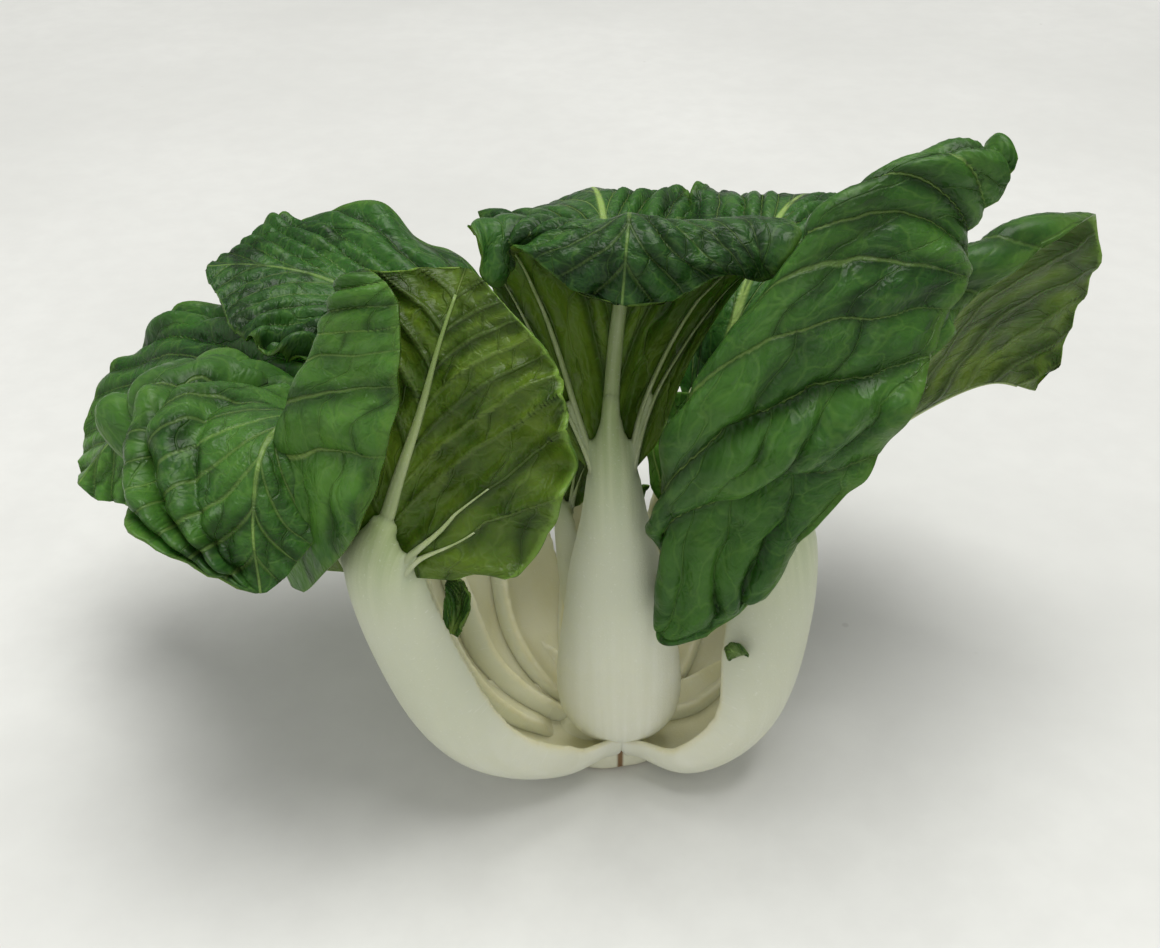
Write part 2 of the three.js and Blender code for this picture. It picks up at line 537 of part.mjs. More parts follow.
// Cut clear of everything placed before, with its largest body kept
const clearOf = (solid, others) => {
  const rest = others.reduce((left, other) => left.subtract(other), solid);
  return withoutShortEdges(largestBody(rest).simplify(MERGE_DISTANCE));
};
const grownBlades = LEAVES.map((leaf) => bladeSolid(leaf, CLEARANCE));
const grownChannels = [crownSolid(CLEARANCE), ...LEAVES.map((leaf) => channelSolid(leaf, CLEARANCE))];
LEAVES.forEach((leaf, i) => {
  const group = new THREE.Group();
  group.name = `leaf_${leaf.name}`;
  head.add(group);
  const before = grownChannels.slice(0, i + 1);
  const ribs = grownBlades.reduce((rest, other) => rest.subtract(other), ribSolids(leaf));
  const stalk = clearOf(channelSolid(leaf).add(ribs), before);
  const blade = clearOf(bladeSolid(leaf), [...grownChannels, ...grownBlades.slice(0, i)]);
  group.add(toMesh(`stalk_${leaf.name}`, stalk, WHITE_STALK));
  group.add(toMesh(`blade_${leaf.name}`, blade, leaf.size ? YOUNG_BLADE : GREEN_BLADE));
});
LEAFLETS.forEach((leaflet) => {
  const blade = clearOf(bladeSolid(leaflet), [...grownChannels, ...grownBlades]);
  head.add(toMesh(leaflet.name, blade, YOUNG_BLADE));
});

export default head;
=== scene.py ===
# A head of bok choy on a pale table, seen from a little above its front leaf.
import math

import bpy
import numpy as np
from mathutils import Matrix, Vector, noise


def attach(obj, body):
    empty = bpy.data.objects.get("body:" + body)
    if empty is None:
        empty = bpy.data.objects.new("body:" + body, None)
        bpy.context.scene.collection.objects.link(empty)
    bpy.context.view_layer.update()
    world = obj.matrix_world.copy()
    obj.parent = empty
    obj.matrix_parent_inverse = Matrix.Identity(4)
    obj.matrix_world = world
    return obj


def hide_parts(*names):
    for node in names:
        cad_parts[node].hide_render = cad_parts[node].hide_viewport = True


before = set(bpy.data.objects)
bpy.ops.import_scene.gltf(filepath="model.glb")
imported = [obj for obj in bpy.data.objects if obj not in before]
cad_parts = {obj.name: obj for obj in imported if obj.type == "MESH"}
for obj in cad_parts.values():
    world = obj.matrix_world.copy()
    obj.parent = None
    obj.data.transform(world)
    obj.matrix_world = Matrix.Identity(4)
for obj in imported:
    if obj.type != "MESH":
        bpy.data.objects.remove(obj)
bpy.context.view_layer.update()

MM = 0.001

# Sizes in millimetres
BLADE_THICKNESS = 0.7
MARGIN_THINNER = 0.4
STALK_EDGE = 1.4
STALK_EDGE_POWER = 2.6
STALK_CENTRE = (3.0, -5.0, 0.0)
LEAF_TIP_HALF_WIDTH = 1.6
FIRST_PLACE = 0.005
SECOND_WAVE_HEIGHT = 0.5
SECOND_WAVE_COUNT = 1.7
WAVE_RISE_POWER = 3
MIDRIB = (7.5, 5.5)
SIDE_RIB = (5.5, 4.5)
SIDE_RIB_START = 6.5
LONGEST_SIDE_RIB = 24.0
RIB_SINKS = 0.1
HEEL_LENGTH = 4.5
HEEL_ROWS = 4
CROWN_RADIUS = 20
CROWN_HEIGHT = 25
CROWN_OUTLINE = [(CROWN_RADIUS, 0), (21.5, 2), (21, 6), (17, 13), (11, 20), (5, 24)]
CROWN_LUMPS = 0.035

# Ribs, as shares of their own length and width, or of the blade's length
RIB_END = 0.12
RIB_TAPER_POWER = 1.7
LONG_RIB_TAPER_POWER = 1.1
RIB_POWER = 0.72
RIB_ROOT = -0.16
RIB_ROOT_SHARE = 0.75
RIB_SPACING_POWER = 1.3
RIB_SHARE = 0.72
LONG_RIB_SHARE = 0.9
NEXT_RIB_THINNER = 0.18
MIDRIB_START = -0.12
MIDRIB_END = 0.9
BLADE_START = -0.012

# The stalk runs out under the blade: how far, and how much narrower, thinner and flatter it gets.
STALK_RUN_OUT = 0.19
RUN_OUT_START = 0.2
RUN_OUT_NARROWER = 0.7
RUN_OUT_THINNER = 0.5
RUN_OUT_FLATTER = 0.7
RUN_OUT_SINKS = 1.2

# Side veins wander more, the further they are from the midrib.
STRAIGHT_VEIN = 25.0
VEIN_WANDER = 0.022
VEIN_WAVE = 0.004
VEIN_SLANT = 0.8
PAST_LAST_VEIN = 0.4

# How far the details stand off the smooth blade, in millimetres
PUFF = 4.4
RUNG_PUFF = 2.6
BROAD = 3.6
ROUGH = 1.0
FINE = 0.25
MARGIN = 3.2

# The puffed panels lie between side veins and between cross veins, which are a cell apart.
CELL = 12.0
WIDE_GAP = 24.0
CELL_SHIFT = 0.47
LEAST_PUFF = 0.35
PUFF_MIDDLE = 0.6
PUFF_POWER = 2.2
RUNG_PUFF_POWER = 2.5
TIP_ROUNDING = 0.3
PLEATS = 3.6
PLEAT_POWER = 0.7

# Uneven layers of a blade: bumps per millimetre, how many finer ones lie on them, and a seed of its own
BROAD_LAYER = (0.022, 2, 5.3)
ROUGH_LAYER = (0.055, 3, 7.1)
FINE_LAYER = (0.16, 2, 3.3)
MARGIN_LAYER = (0.045, 2, 11.7, 40)
SIDE_SEED = 0.37

# The sheet lies still this near the ribs, in millimetres.
STILL_AT_MIDRIB = 8
STILL_AT_RIB = 5
STILL_PAST_RIB = 6

# A stalk and its ribs are blended by voxels of this size.
VOXEL = 1.1
SMALL_VOXEL = 0.8
RELAX_FACTOR = 0.5
RELAX_STEPS = 7
SMALL_RELAX_STEPS = 4

# Mesh steps
BLADE_ROWS = 120
SMALL_BLADE_ROWS = 60
COLUMN_STEP = 1.25
COLUMN_RANGE = (10, 62)
LEAST_COLUMN_SIZE = 0.35
STALK_ROWS = 60
STALK_COLUMNS = 28
RIB_ROWS = 40
RIB_ROOT_ROWS = 4
RIB_SIDES = 12
OTHER_SIDE_COLUMNS = 12
PATH_SAMPLES = 160
CROWN_SIDES = 72
CROWN_STEPS = 40

# The ribs of a leaf: the side of the blade, and None for the midrib or a side vein's number.
RIBS = [(1, None), (1, 0), (1, 1), (-1, 0), (-1, 1)]
BLENDED_PART = 0.5

# Places of the side veins: start on the midrib and end at the margin, as shares of the blade's length.
# The first two of each side are ribs.
SIDE_VEINS = [(-0.05, 0.42), (-0.04, 0.66), (0.12, 0.78), (0.25, 0.88), (0.37, 0.97), (0.5, 1.05),
              (0.63, 1.12), (0.76, 1.18), (0.88, 1.24)]


def both_sides(width, folds, sweep, wave):
    """The sides of a small leaf, which differ only in where the waves of their margins start."""
    height, count, phase = wave
    right, left = (dict(width=width, folds=folds, sweep=sweep, wave=(height, count, start))
                   for start in (phase, phase + 0.5))
    return dict(right=right, left=left)


# The leaves, with the same values as the solids have, apart from the folds of the front leaf's left side.
# Every list runs from the root of a leaf, or of its blade, to the tip.
#   facing        which way the leaf grows, in degrees from +X
#   path          the middle line, in millimetres from the middle of the stalks
#   stalk_steps   how many steps of the path are stalk
#   twist         turn about the middle line, in degrees
#   section       width and thickness of the stalk in millimetres, and how far round its hollow bends
#   outline       where the outline starts and where it is widest, and how blunt it is
#   heel          how far the stalk runs back into the crown
#   neck, fan, reach   a narrower stalk top, and side ribs that spread less and run further
#   ruffle, quilt, pleat   how strong the waved margin, the puffed surface and the folds of a roll are
#   tone, tip     how light the green is, and how much lighter it gets at the tip
#   veins, size   how pale the veins are, and how large the leaf's details are
# Each side of a blade has these:
#   width, sweep  its width, and how far it leans towards the tip
#   folds         lift from the middle line, then the distance, the length and the angle of a bend
#   wave          height, number and start of the waves of the margin
#   calm, puff, quilt   a stiller margin, flatter panels, and its own strength of the puffed surface
PLAIN_OUTLINE = (0.03, 0.9, 0.5)
INNER_SECTION = [[20, 6, 120], [32, 10, 110], [27, 9, 90], [19, 7, 60]]
BACK_SECTION = [[20, 6, 120], [32, 10, 110], [26, 9, 90], [19, 7, 60]]
YOUNG_SECTION = [[12, 4, 120], [18, 6, 110], [12, 4, 70]]
LEAVES = [
    dict(
        name="outer_left", facing=215, stalk_steps=4, heel=HEEL_LENGTH,
        path=[[-8, -7, 9], [-25, -13, 11.5], [-46, -24, 28], [-58, -31, 58], [-67, -33, 95],
              [-62, -32, 118], [-54, -27, 141], [-48, -20, 160], [-42, -8, 174]],
        twist=[0, 0, 5, 15, 30, 35, 35, 35, 35],
        section=[[34, 6, 130], [43, 11, 115], [35, 11, 95], [25, 8, 60]],
        outline=(0.06, 0.75, 0.5),
        right=dict(
            width=44, sweep=[10, 10, 5, 0, -10], wave=(2.5, 4, 0.3), quilt=1.6, puff=0.5,
            folds=[[0, 20, 10, 20], [0, 30, 10, 0], [-5, 30, 10, 0], [-10, 30, 15, 0]],
        ),
        left=dict(
            width=74, sweep=[-10, 5, 5, 0, -10], wave=(2.5, 5, 0.1), calm=0.3,
            folds=[[0, 22, 17, -165], [0, 28, 17, -168], [0, 24, 17, -168], [0, 14, 15, -160]],
        ),
        ruffle=0.6, quilt=0.95, tone=0.38, veins=0.8,
    ),
    dict(
        name="outer_right", facing=345, stalk_steps=4, heel=HEEL_LENGTH,
        path=[[8, -6, 9], [25, -10, 11.5], [41, -10, 29], [46, -7, 56], [46, -8, 84],
              [41, -12, 108], [43, -17, 135], [55, -11, 164], [74, 4, 184], [96, 20, 186]],
        twist=[0, 0, -5, -30, -50, -60, -60, -60, -60, -60],
        section=[[34, 6, 130], [43, 11, 115], [37, 11, 95], [26, 8, 60]],
        outline=(0.12, 0.85, 0.45),
        right=dict(
            width=44, sweep=[10, 10, 5, 0, -10], wave=(2.5, 4, 0.6),
            folds=[[40, 20, 10, 20], [55, 40, 10, 0], [50, 40, 10, 0], [30, 40, 15, 0]],
        ),
        left=dict(
            width=88, sweep=[-14, -8, 5, 0, -10], wave=(2.5, 5, 0.4), calm=0.5,
            folds=[[0, 38, 17, -160], [0, 27, 17, -165], [0, 20, 17, -165], [0, 12, 15, -160]],
        ),
        ruffle=0.6, quilt=1.5, tone=0.2, veins=0.95,
    ),
    dict(
        name="rolled_left", facing=245, stalk_steps=4,
        path=[[-8, 1, 11], [-25, 4, 13.5], [-47, 5, 29], [-58, 4, 56], [-66, 3, 84], [-78, 2, 110],
              [-89, -8, 128], [-96, -26, 131], [-98, -41, 117], [-97, -48, 99]],
        twist=[-60, -60, -60, -45, -25, -25, -40],
        section=[[22, 6, 120], [36, 10, 110], [29, 9, 90], [21, 7, 60]],
        outline=(0.03, 0.9, 0.55),
        right=dict(
            width=34, sweep=[30, 20, 0, 0, 0], wave=(2, 4, 0.2),
            folds=[[0, 20, 10, -20], [-10, 20, 10, -30], [-10, 18, 10, -60], [-10, 18, 10, -60]],
        ),
        left=dict(
            width=64, sweep=[30, 20, 0, -6, -16], wave=(3, 4, 0.5),
            folds=[[0, 20, 10, -20], [-16, 32, 15, -50], [-18, 30, 15, -80], [-18, 28, 15, -80]],
        ),
        ruffle=1.3, quilt=0.9, tone=0.22, pleat=8.0, veins=0.6,
    ),
    dict(
        name="left", facing=170, stalk_steps=4,
        path=[[-7, 4, 11], [-21, 9, 13], [-40, 15, 30], [-50, 19, 60], [-62, 27, 86],
              [-88, 33, 107], [-116, 38, 112], [-142, 45, 104], [-163, 47, 88], [-178, 44, 71]],
        twist=[0, 0, 0, -5, -15], section=INNER_SECTION, outline=(0.03, 1, 0.4),
        right=dict(
            width=40, sweep=[30, 20, 5, 5, 0], wave=(3, 4, 0.2),
            folds=[[0, 20, 10, 0], [-5, 30, 15, 0], [-20, 30, 15, 0], [-50, 30, 15, 0]],
        ),
        left=dict(
            width=50, sweep=[30, 20, 15, 12, 10], wave=(3, 4, 0.7),
            folds=[[0, 20, 10, 0], [4, 30, 15, 0], [8, 30, 15, 0], [10, 30, 15, 0]],
        ),
        ruffle=1.4, quilt=0.85, tone=0.05, tip=0.9, veins=0.5,
    ),
    dict(
        name="right_back", facing=30, stalk_steps=4,
        path=[[8, 4, 10], [22, 11, 12.5], [39, 20, 29], [49, 28, 54], [60, 36, 71], [78, 46, 81],
              [100, 56, 92], [123, 64, 98], [143, 76, 88]],
        twist=[0, 0], section=INNER_SECTION, outline=PLAIN_OUTLINE,
        right=dict(
            width=44, sweep=[20, 15, 10, 10, 10], wave=(3, 4, 0.1),
            folds=[[0, 20, 10, 0], [20, 30, 15, 0], [20, 30, 15, 0], [20, 30, 15, 0]],
        ),
        left=dict(
            width=82, sweep=[20, 15, 10, 10, 10], wave=(2, 4, 0.5), quilt=1.5, puff=0.5,
            folds=[[40, 34, 15, 0], [80, 50, 15, -120], [84, 55, 15, -150], [80, 48, 15, -120]],
        ),
        ruffle=1.8, quilt=1.1, tone=0.15,
    ),
    dict(
        name="front", facing=270, stalk_steps=4, neck=0.2, fan=0.75, reach=40,
        path=[[0, -4, 17], [0, -11, 23], [-1, -13, 50], [-2, -10, 78], [-3, -6, 104], [-4, -2, 125],
              [-3, 2, 146], [-1, 5, 165], [0, 5, 180], [0, -4, 187], [-1, -15, 182],
              [-2, -19, 169]],
        twist=[0, 0], section=[[32, 7, 110], [41, 12, 90], [31, 11, 75], [20, 8, 60]],
        outline=(0.03, 1.0, 0.3),
        right=dict(
            width=46, sweep=[50, 36, 16, 6, 0], wave=(2, 5, 0.3),
            folds=[[0, 20, 10, 10], [6, 22, 10, 5], [1, 27, 13, -27], [-11, 26, 15, -47],
                   [-12, 26, 15, -50]],
        ),
        left=dict(
            width=46, sweep=[50, 32, 11, 1, -5], wave=(2, 5, 0.8),
            folds=[[0, 20, 10, 10], [6, 22, 10, -5], [1, 24, 13, -55], [-16, 24, 15, -60],
                   [-18, 26, 15, -50]],
        ),
        ruffle=0.8, quilt=0.62, tone=0.0, veins=0.4,
    ),
    dict(
        name="back_left", facing=105, stalk_steps=4,
        path=[[-3, 7, 11], [-5, 20, 13], [-6, 33, 32], [-6, 37, 68], [-5, 44, 100], [-4, 58, 130],
              [-5, 82, 148], [-8, 108, 148], [-11, 130, 132], [-13, 144, 106]],
        twist=[0, 0], section=BACK_SECTION, outline=PLAIN_OUTLINE,
        right=dict(
            width=40, sweep=[30, 20, 5, 0, 0], wave=(3, 4, 0.4),
            folds=[[0, 20, 10, 0], [-8, 30, 15, 0], [-12, 30, 15, -20], [-12, 30, 15, -20]],
        ),
        left=dict(
            width=34, sweep=[30, 20, 5, 0, 0], wave=(3, 4, 0.9),
            folds=[[0, 20, 10, 0], [-10, 30, 15, 0], [-10, 30, 15, -20], [-10, 30, 15, -20]],
        ),
        ruffle=0.8, quilt=0.75, tone=0.0,
    ),
    dict(
        name="upper_left", facing=138, stalk_steps=4,
        path=[[-6, 6, 12], [-15, 14, 15], [-28, 25, 33], [-34, 34, 60], [-42, 44, 86],
              [-56, 60, 107], [-77, 75, 120], [-100, 84, 127], [-121, 88, 129], [-137, 89, 128]],
        twist=[0, 0], section=[[20, 6, 120], [30, 10, 110], [25, 9, 90], [18, 7, 60]],
        outline=PLAIN_OUTLINE,
        right=dict(
            width=40, sweep=[30, 20, 5, 0, 0], wave=(3, 4, 0.6),
            folds=[[0, 20, 10, 0], [0, 30, 15, 0], [-10, 30, 15, 0], [-20, 30, 15, 0]],
        ),
        left=dict(
            width=40, sweep=[30, 20, 15, 10, 0], wave=(3, 4, 0.1),
            folds=[[0, 20, 10, 0], [6, 30, 15, 0], [4, 30, 15, -20], [0, 30, 15, -20]],
        ),
        ruffle=1.2, quilt=0.8, tone=0.0, veins=0.4,
    ),
    dict(
        name="back_right", facing=65, stalk_steps=4,
        path=[[4, 7, 11], [9, 18, 13], [17, 30, 32], [22, 33, 68], [28, 40, 99], [37, 54, 131],
              [49, 78, 147], [62, 102, 148], [74, 124, 134], [81, 137, 111]],
        twist=[0, 0], section=BACK_SECTION, outline=PLAIN_OUTLINE,
        right=dict(
            width=35, sweep=[30, 20, 5, 0, 0], wave=(3, 4, 0.2),
            folds=[[0, 20, 10, 0], [-6, 30, 15, 0], [-8, 30, 15, -10], [-8, 30, 15, -10]],
        ),
        left=dict(
            width=44, sweep=[30, 20, 5, 0, 0], wave=(3, 4, 0.7),
            folds=[[0, 20, 10, 0], [0, 30, 15, 0], [0, 30, 15, -20], [0, 30, 15, -20]],
        ),
        ruffle=0.8, quilt=0.75, tone=0.0,
    ),
    dict(
        name="heart_left", facing=190, stalk_steps=3, size=0.5,
        path=[[-3, 4, 22], [-10, 8, 40], [-14, 12, 62], [-17, 15, 82], [-20, 18, 96],
              [-25, 20, 108], [-32, 22, 114]],
        twist=[0, 0], section=YOUNG_SECTION, outline=PLAIN_OUTLINE,
        **both_sides(22, [[40, 20, 10, 0], [40, 30, 15, 0], [20, 30, 15, 0]], [30, 20, 0], (1.5, 3, 0.2)),
        ruffle=1.0, quilt=0.7, tone=0.7,
    ),
    dict(
        name="heart_right", facing=10, stalk_steps=3, size=0.5,
        path=[[4, 4, 22], [10, 8, 40], [14, 13, 60], [17, 16, 78], [20, 18, 92], [25, 20, 103],
              [32, 22, 108]],
        twist=[0, 0], section=YOUNG_SECTION, outline=PLAIN_OUTLINE,
        **both_sides(20, [[40, 20, 10, 0], [40, 30, 15, 0], [20, 30, 15, 0]], [30, 20, 0], (1.5, 3, 0.1)),
        ruffle=1.0, quilt=0.7, tone=0.7,
    ),
    dict(
        name="heart_middle", facing=280, stalk_steps=3, size=0.4,
        path=[[0, 4, 23], [0, 6, 38], [0, 8, 52], [0, 10, 66], [1, 11, 80], [2, 11, 92]],
        twist=[0, 0], section=[[8, 4, 100], [12, 5, 100], [9, 4, 70]], outline=PLAIN_OUTLINE,
        **both_sides(14, [[50, 20, 10, 0], [50, 30, 15, 0], [30, 30, 15, 0]], [30, 20, 0], (1, 3, 0.4)),
        ruffle=0.7, quilt=0.4, tone=0.9,
    ),
]
LEAFLETS = [
    dict(
        name="leaflet_left", facing=70, stalk_steps=0,
        path=[[-49.5, -28, 68], [-47.5, -26, 73], [-46.5, -24, 79], [-47.5, -23, 84],
              [-50.5, -24, 87]],
        twist=[0, 0], outline=(0.1, 0.9, 0.6),
        **both_sides(5, [[30, 3, 2, 20], [30, 3, 2, 20]], [10, 0], (0.3, 2, 0.2)),
        ruffle=0.3, quilt=0.2, tone=0.3, size=0.15,
    ),
    dict(
        name="leaflet_right", facing=100, stalk_steps=0,
        path=[[35.5, -20.6, 53.4], [34.4, -21.8, 55], [32.4, -22.2, 56.4], [30.2, -21.8, 57]],
        twist=[0, 0], outline=(0.15, 0.9, 0.6),
        **both_sides(3.4, [[10, 2, 1, 10], [10, 2, 1, 10]], [10, 0], (0.2, 2, 0.2)),
        ruffle=0.2, quilt=0.1, tone=0.6, size=0.1,
    ),
]


def smooth(x):
    x = np.clip(x, 0, 1)
    return x * x * (3 - 2 * x)


def unit(v):
    return v / np.maximum(np.linalg.norm(v, axis=-1, keepdims=True), 1e-9)


def along_rows(rows, t):
    """Values on the smooth curve through a list of rows, at each t from 0 to 1."""
    rows = np.asarray(rows, float)
    rows = rows.reshape(len(rows), -1)
    last = len(rows) - 1
    place = np.clip(np.asarray(t, float), 0, 1) * last
    i = np.minimum(place.astype(int), last - 1)
    f = (place - i)[:, None]
    value, after_one = rows[i], rows[i + 1]
    before = np.where((i > 0)[:, None], rows[np.maximum(i - 1, 0)], 2 * value - after_one)
    after = np.where((i + 2 <= last)[:, None], rows[np.minimum(i + 2, last)], 2 * after_one - value)
    leave, arrive = (after_one - before) / 2, (after - value) / 2
    return ((2 * f**3 - 3 * f**2 + 1) * value + (f**3 - 2 * f**2 + f) * leave
            + (-2 * f**3 + 3 * f**2) * after_one + (f**3 - f**2) * arrive)


def frames_at(leaf, t):
    """Points, directions, sideways and upper-face directions of a leaf's path."""
    step = 0.001
    t = np.asarray(t, float)
    point = along_rows(leaf["path"], t) + STALK_CENTRE
    ahead = along_rows(leaf["path"], np.minimum(t + step, 1))
    along = unit(ahead - along_rows(leaf["path"], np.maximum(t - step, 0)))
    angle = math.radians(leaf["facing"])
    side = np.tile([-math.sin(angle), math.cos(angle), 0.0], (len(t), 1))
    side = unit(side - along * (side * along).sum(1, keepdims=True))
    twist = np.radians(along_rows(leaf["twist"], t))
    side = side * np.cos(twist) + np.cross(along, side) * np.sin(twist)
    return point, along, side, np.cross(along, side)


def size_of(leaf):
    return leaf.get("size", 1)


def stalk_end(leaf):
    return leaf["stalk_steps"] / (len(leaf["path"]) - 1)


def blade_length(leaf):
    t = np.linspace(stalk_end(leaf), 1, 60)
    return np.linalg.norm(np.diff(along_rows(leaf["path"], t), axis=0), axis=1).sum()


def half_width(leaf, side, u):
    start, peak, blunt = leaf["outline"]
    place = np.maximum(start + (1 - start) * u, FIRST_PLACE)
    wide = np.maximum(np.sin(np.pi * place**peak), 0) ** blunt
    wide = wide * (1 - TIP_ROUNDING * smooth(5 * u - 4))
    return np.maximum(side["width"] * wide, LEAF_TIP_HALF_WIDTH * min(1, 2 * size_of(leaf)))


def sums_along(slope, s):
    """The sum of a slope along each row of a grid, from 0 at the row's first point."""
    steps = (slope[:, 1:] + slope[:, :-1]) / 2 * np.diff(s, axis=1)
    return np.cumsum(np.hstack([s[:, :1] * 0, steps]), axis=1)


def side_surface(leaf, sign, u, columns):
    """Points, face directions and distances from the midrib of one side of a blade, rows by columns."""
    side = leaf["right"] if sign > 0 else leaf["left"]
    start = stalk_end(leaf)
    point, along, across, up = frames_at(leaf, start + (1 - start) * u)
    sweep = np.radians(along_rows(side["sweep"], u))
    across = across * sign * np.cos(sweep) + along * np.sin(sweep)
    half = half_width(leaf, side, u)
    lift, at, over, bend = (c[:, None] for c in along_rows(side["folds"], u).T)
    share = np.linspace(0, 1, columns + 1)
    s = half[:, None] * share[None, :]
    angle = np.radians(lift + bend * smooth((s - at) / np.maximum(over, 1)))
    out = sums_along(np.cos(angle), s)
    rise = sums_along(np.sin(angle), s)
    face = up[:, None] * np.cos(angle)[..., None] - across[:, None] * np.sin(angle)[..., None]
    place = point[:, None] + across[:, None] * out[..., None] + up[:, None] * rise[..., None]
    height, count, phase = side["wave"]
    turn = 2 * np.pi * count * u
    ripple = np.sin(turn + 2 * np.pi * phase) + SECOND_WAVE_HEIGHT * np.sin(SECOND_WAVE_COUNT * turn)
    wave = side.get("calm", 1) * height * ripple * np.sin(np.pi * u)
    place = place + face * (wave[:, None] * share**WAVE_RISE_POWER)[..., None]
    return place, face, s


def side_vein_places(leaf, side, s):
    """Where each side vein crosses the distance s from the midrib, in shares of the blade's length."""
    lines = []
    for k, (begin, end) in enumerate(SIDE_VEINS):
        first = 0.0
        if k < 2:
            first = SIDE_RIB_START * size_of(leaf)
            end = end * leaf.get("fan", 1)
        share = np.maximum(s - first, 0) / (side["width"] - first)
        lines.append(begin + (end - begin) * share**RIB_POWER)
    return lines


def vein_fields(leaf, side, u, s, rough):
    """The side vein's number, which runs on between veins, and the space between veins in millimetres."""
    lines = np.array(side_vein_places(leaf, side, s))
    lines = np.concatenate([lines[:1] - PAST_LAST_VEIN, lines, lines[-1:] + PAST_LAST_VEIN])
    away = smooth(s / STRAIGHT_VEIN)
    turn = s * 0.15 + 7 * u[:, None]
    uu = u[:, None] + VEIN_WANDER * rough * away + VEIN_WAVE * away * np.sin(turn)
    q = np.zeros(s.shape)
    for k in range(len(lines) - 1):
        width = np.maximum(lines[k + 1] - lines[k], 1e-4)
        inside = (uu >= lines[k]) & (uu < lines[k + 1])
        q = np.where(inside, k + (uu - lines[k]) / width, q)
    widths = np.maximum(np.diff(lines, axis=0), 1e-4)
    place = np.clip(q - 0.5, 0, len(widths) - 1.001)
    first = place.astype(int)
    at = np.ix_(range(s.shape[0]), range(s.shape[1]))
    low = widths[first, at[0], at[1]]
    high = widths[first + 1, at[0], at[1]]
    gap = low + (high - low) * (place - first)
    return q, gap * blade_length(leaf) * VEIN_SLANT


def fbm(points, scale, seed, octaves):
    """Noise at each point, with finer and weaker noise on it."""
    out = np.zeros(len(points))
    for k in range(octaves):
        f = scale * 2**k
        out += np.array([noise.noise((p[0] * f + seed, p[1] * f, p[2] * f)) for p in points]) / 2**k
    return out


def rib_reach(leaf, side):
    """How far from the midrib the side ribs under a blade run."""
    if "reach" in leaf:
        return min(side["width"] * LONG_RIB_SHARE, leaf["reach"])
    return min(side["width"] * RIB_SHARE, LONGEST_SIDE_RIB * size_of(leaf))


def calm(leaf, side, uu, s):
    """0 on the ribs and 1 away from them, as the sheet lies flat against them."""
    size = size_of(leaf)
    still = smooth(s / (STILL_AT_MIDRIB * size)) * smooth(uu * 10)
    for line in side_vein_places(leaf, side, s)[:2]:
        away = (uu - line) * blade_length(leaf) / (STILL_AT_RIB * size)
        along = smooth((rib_reach(leaf, side) - s) / (STILL_PAST_RIB * size) + 1)
        still = still * (1 - along * np.exp(-away * away))
    return still


def panel_strength(q, seed):
    """How strongly each panel between two side veins is puffed, from 0 to 1."""
    return np.abs(np.sin(np.floor(q) * 12.99 + seed * 78.2)) ** 1.5


def detail(leaf, side, sign, u, s, seed):
    """How far the blade's surface stands off its smooth shape, in millimetres, and the vein fields."""
    size = size_of(leaf)
    length = blade_length(leaf)
    uu = np.broadcast_to(u[:, None], s.shape)
    edge = s / np.maximum(s[:, -1:], 1e-6)
    flat = np.stack([uu * length, s * sign, uu * 0 + seed * 31], -1).reshape(-1, 3)

    def layer(scale, octaves, turn, shift=0):
        return fbm(flat / size, scale, seed * turn + shift, octaves).reshape(s.shape)

    broad, rough, fine = layer(*BROAD_LAYER), layer(*ROUGH_LAYER), layer(*FINE_LAYER)
    q, gap = vein_fields(leaf, side, u, s, rough)
    between = np.clip(np.abs(q - np.round(q)) * 2, 0, 1)
    cross = s / (CELL * size) + CELL_SHIFT * np.floor(q) + 0.5 * rough
    rung = np.clip(np.abs(cross - np.round(cross)) * 2, 0, 1)
    big_puff = 1 - (1 - between) ** PUFF_POWER
    small_puff = 1 - (1 - rung) ** RUNG_PUFF_POWER
    room = np.minimum(gap / (WIDE_GAP * size), 1)
    puff = PUFF * (big_puff - PUFF_MIDDLE) + RUNG_PUFF * (small_puff - PUFF_MIDDLE) * big_puff
    puff = puff * side.get("puff", 1) * (LEAST_PUFF + 1.3 * smooth(0.5 + 1.1 * broad))
    puff = puff * (LEAST_PUFF + panel_strength(q, seed))
    off = side.get("quilt", leaf["quilt"]) * (puff * room + BROAD * broad + ROUGH * rough + FINE * fine)
    margin = leaf["ruffle"] * MARGIN * edge**4 * layer(*MARGIN_LAYER)
    off = off + margin * smooth(uu * 5) * smooth((1.01 - uu) * 6)
    if leaf.get("pleat") and sign < 0:
        turn = edge * PLEATS + 0.3 * np.sin(5 * uu + 1) + 0.3 * rough
        ridge = np.abs(np.sin(np.pi * turn)) ** PLEAT_POWER
        off = off + leaf["pleat"] * (ridge - 0.6) * smooth((edge - 0.2) * 3) * smooth(uu * 4)
    off = off * calm(leaf, side, uu, s)
    off = off * (1 - (1 - side.get("calm", 1)) * smooth(4 * edge - 3))
    return off, q, gap, cross


def add_fields(mesh, fields):
    for key, values in fields.items():
        attribute = mesh.attributes.new(key, "FLOAT_VECTOR", "POINT")
        attribute.data.foreach_set("vector", np.asarray(values, np.float32).ravel())


def make_mesh(name, points, faces, fields=None):
    mesh = bpy.data.meshes.new(name)
    mesh.from_pydata((np.asarray(points) * MM).tolist(), [], faces)
    add_fields(mesh, fields or {})
    mesh.polygons.foreach_set("use_smooth", [True] * len(mesh.polygons))
    mesh.update()
    piece = bpy.data.objects.new(name, mesh)
    bpy.context.scene.collection.objects.link(piece)
    return piece


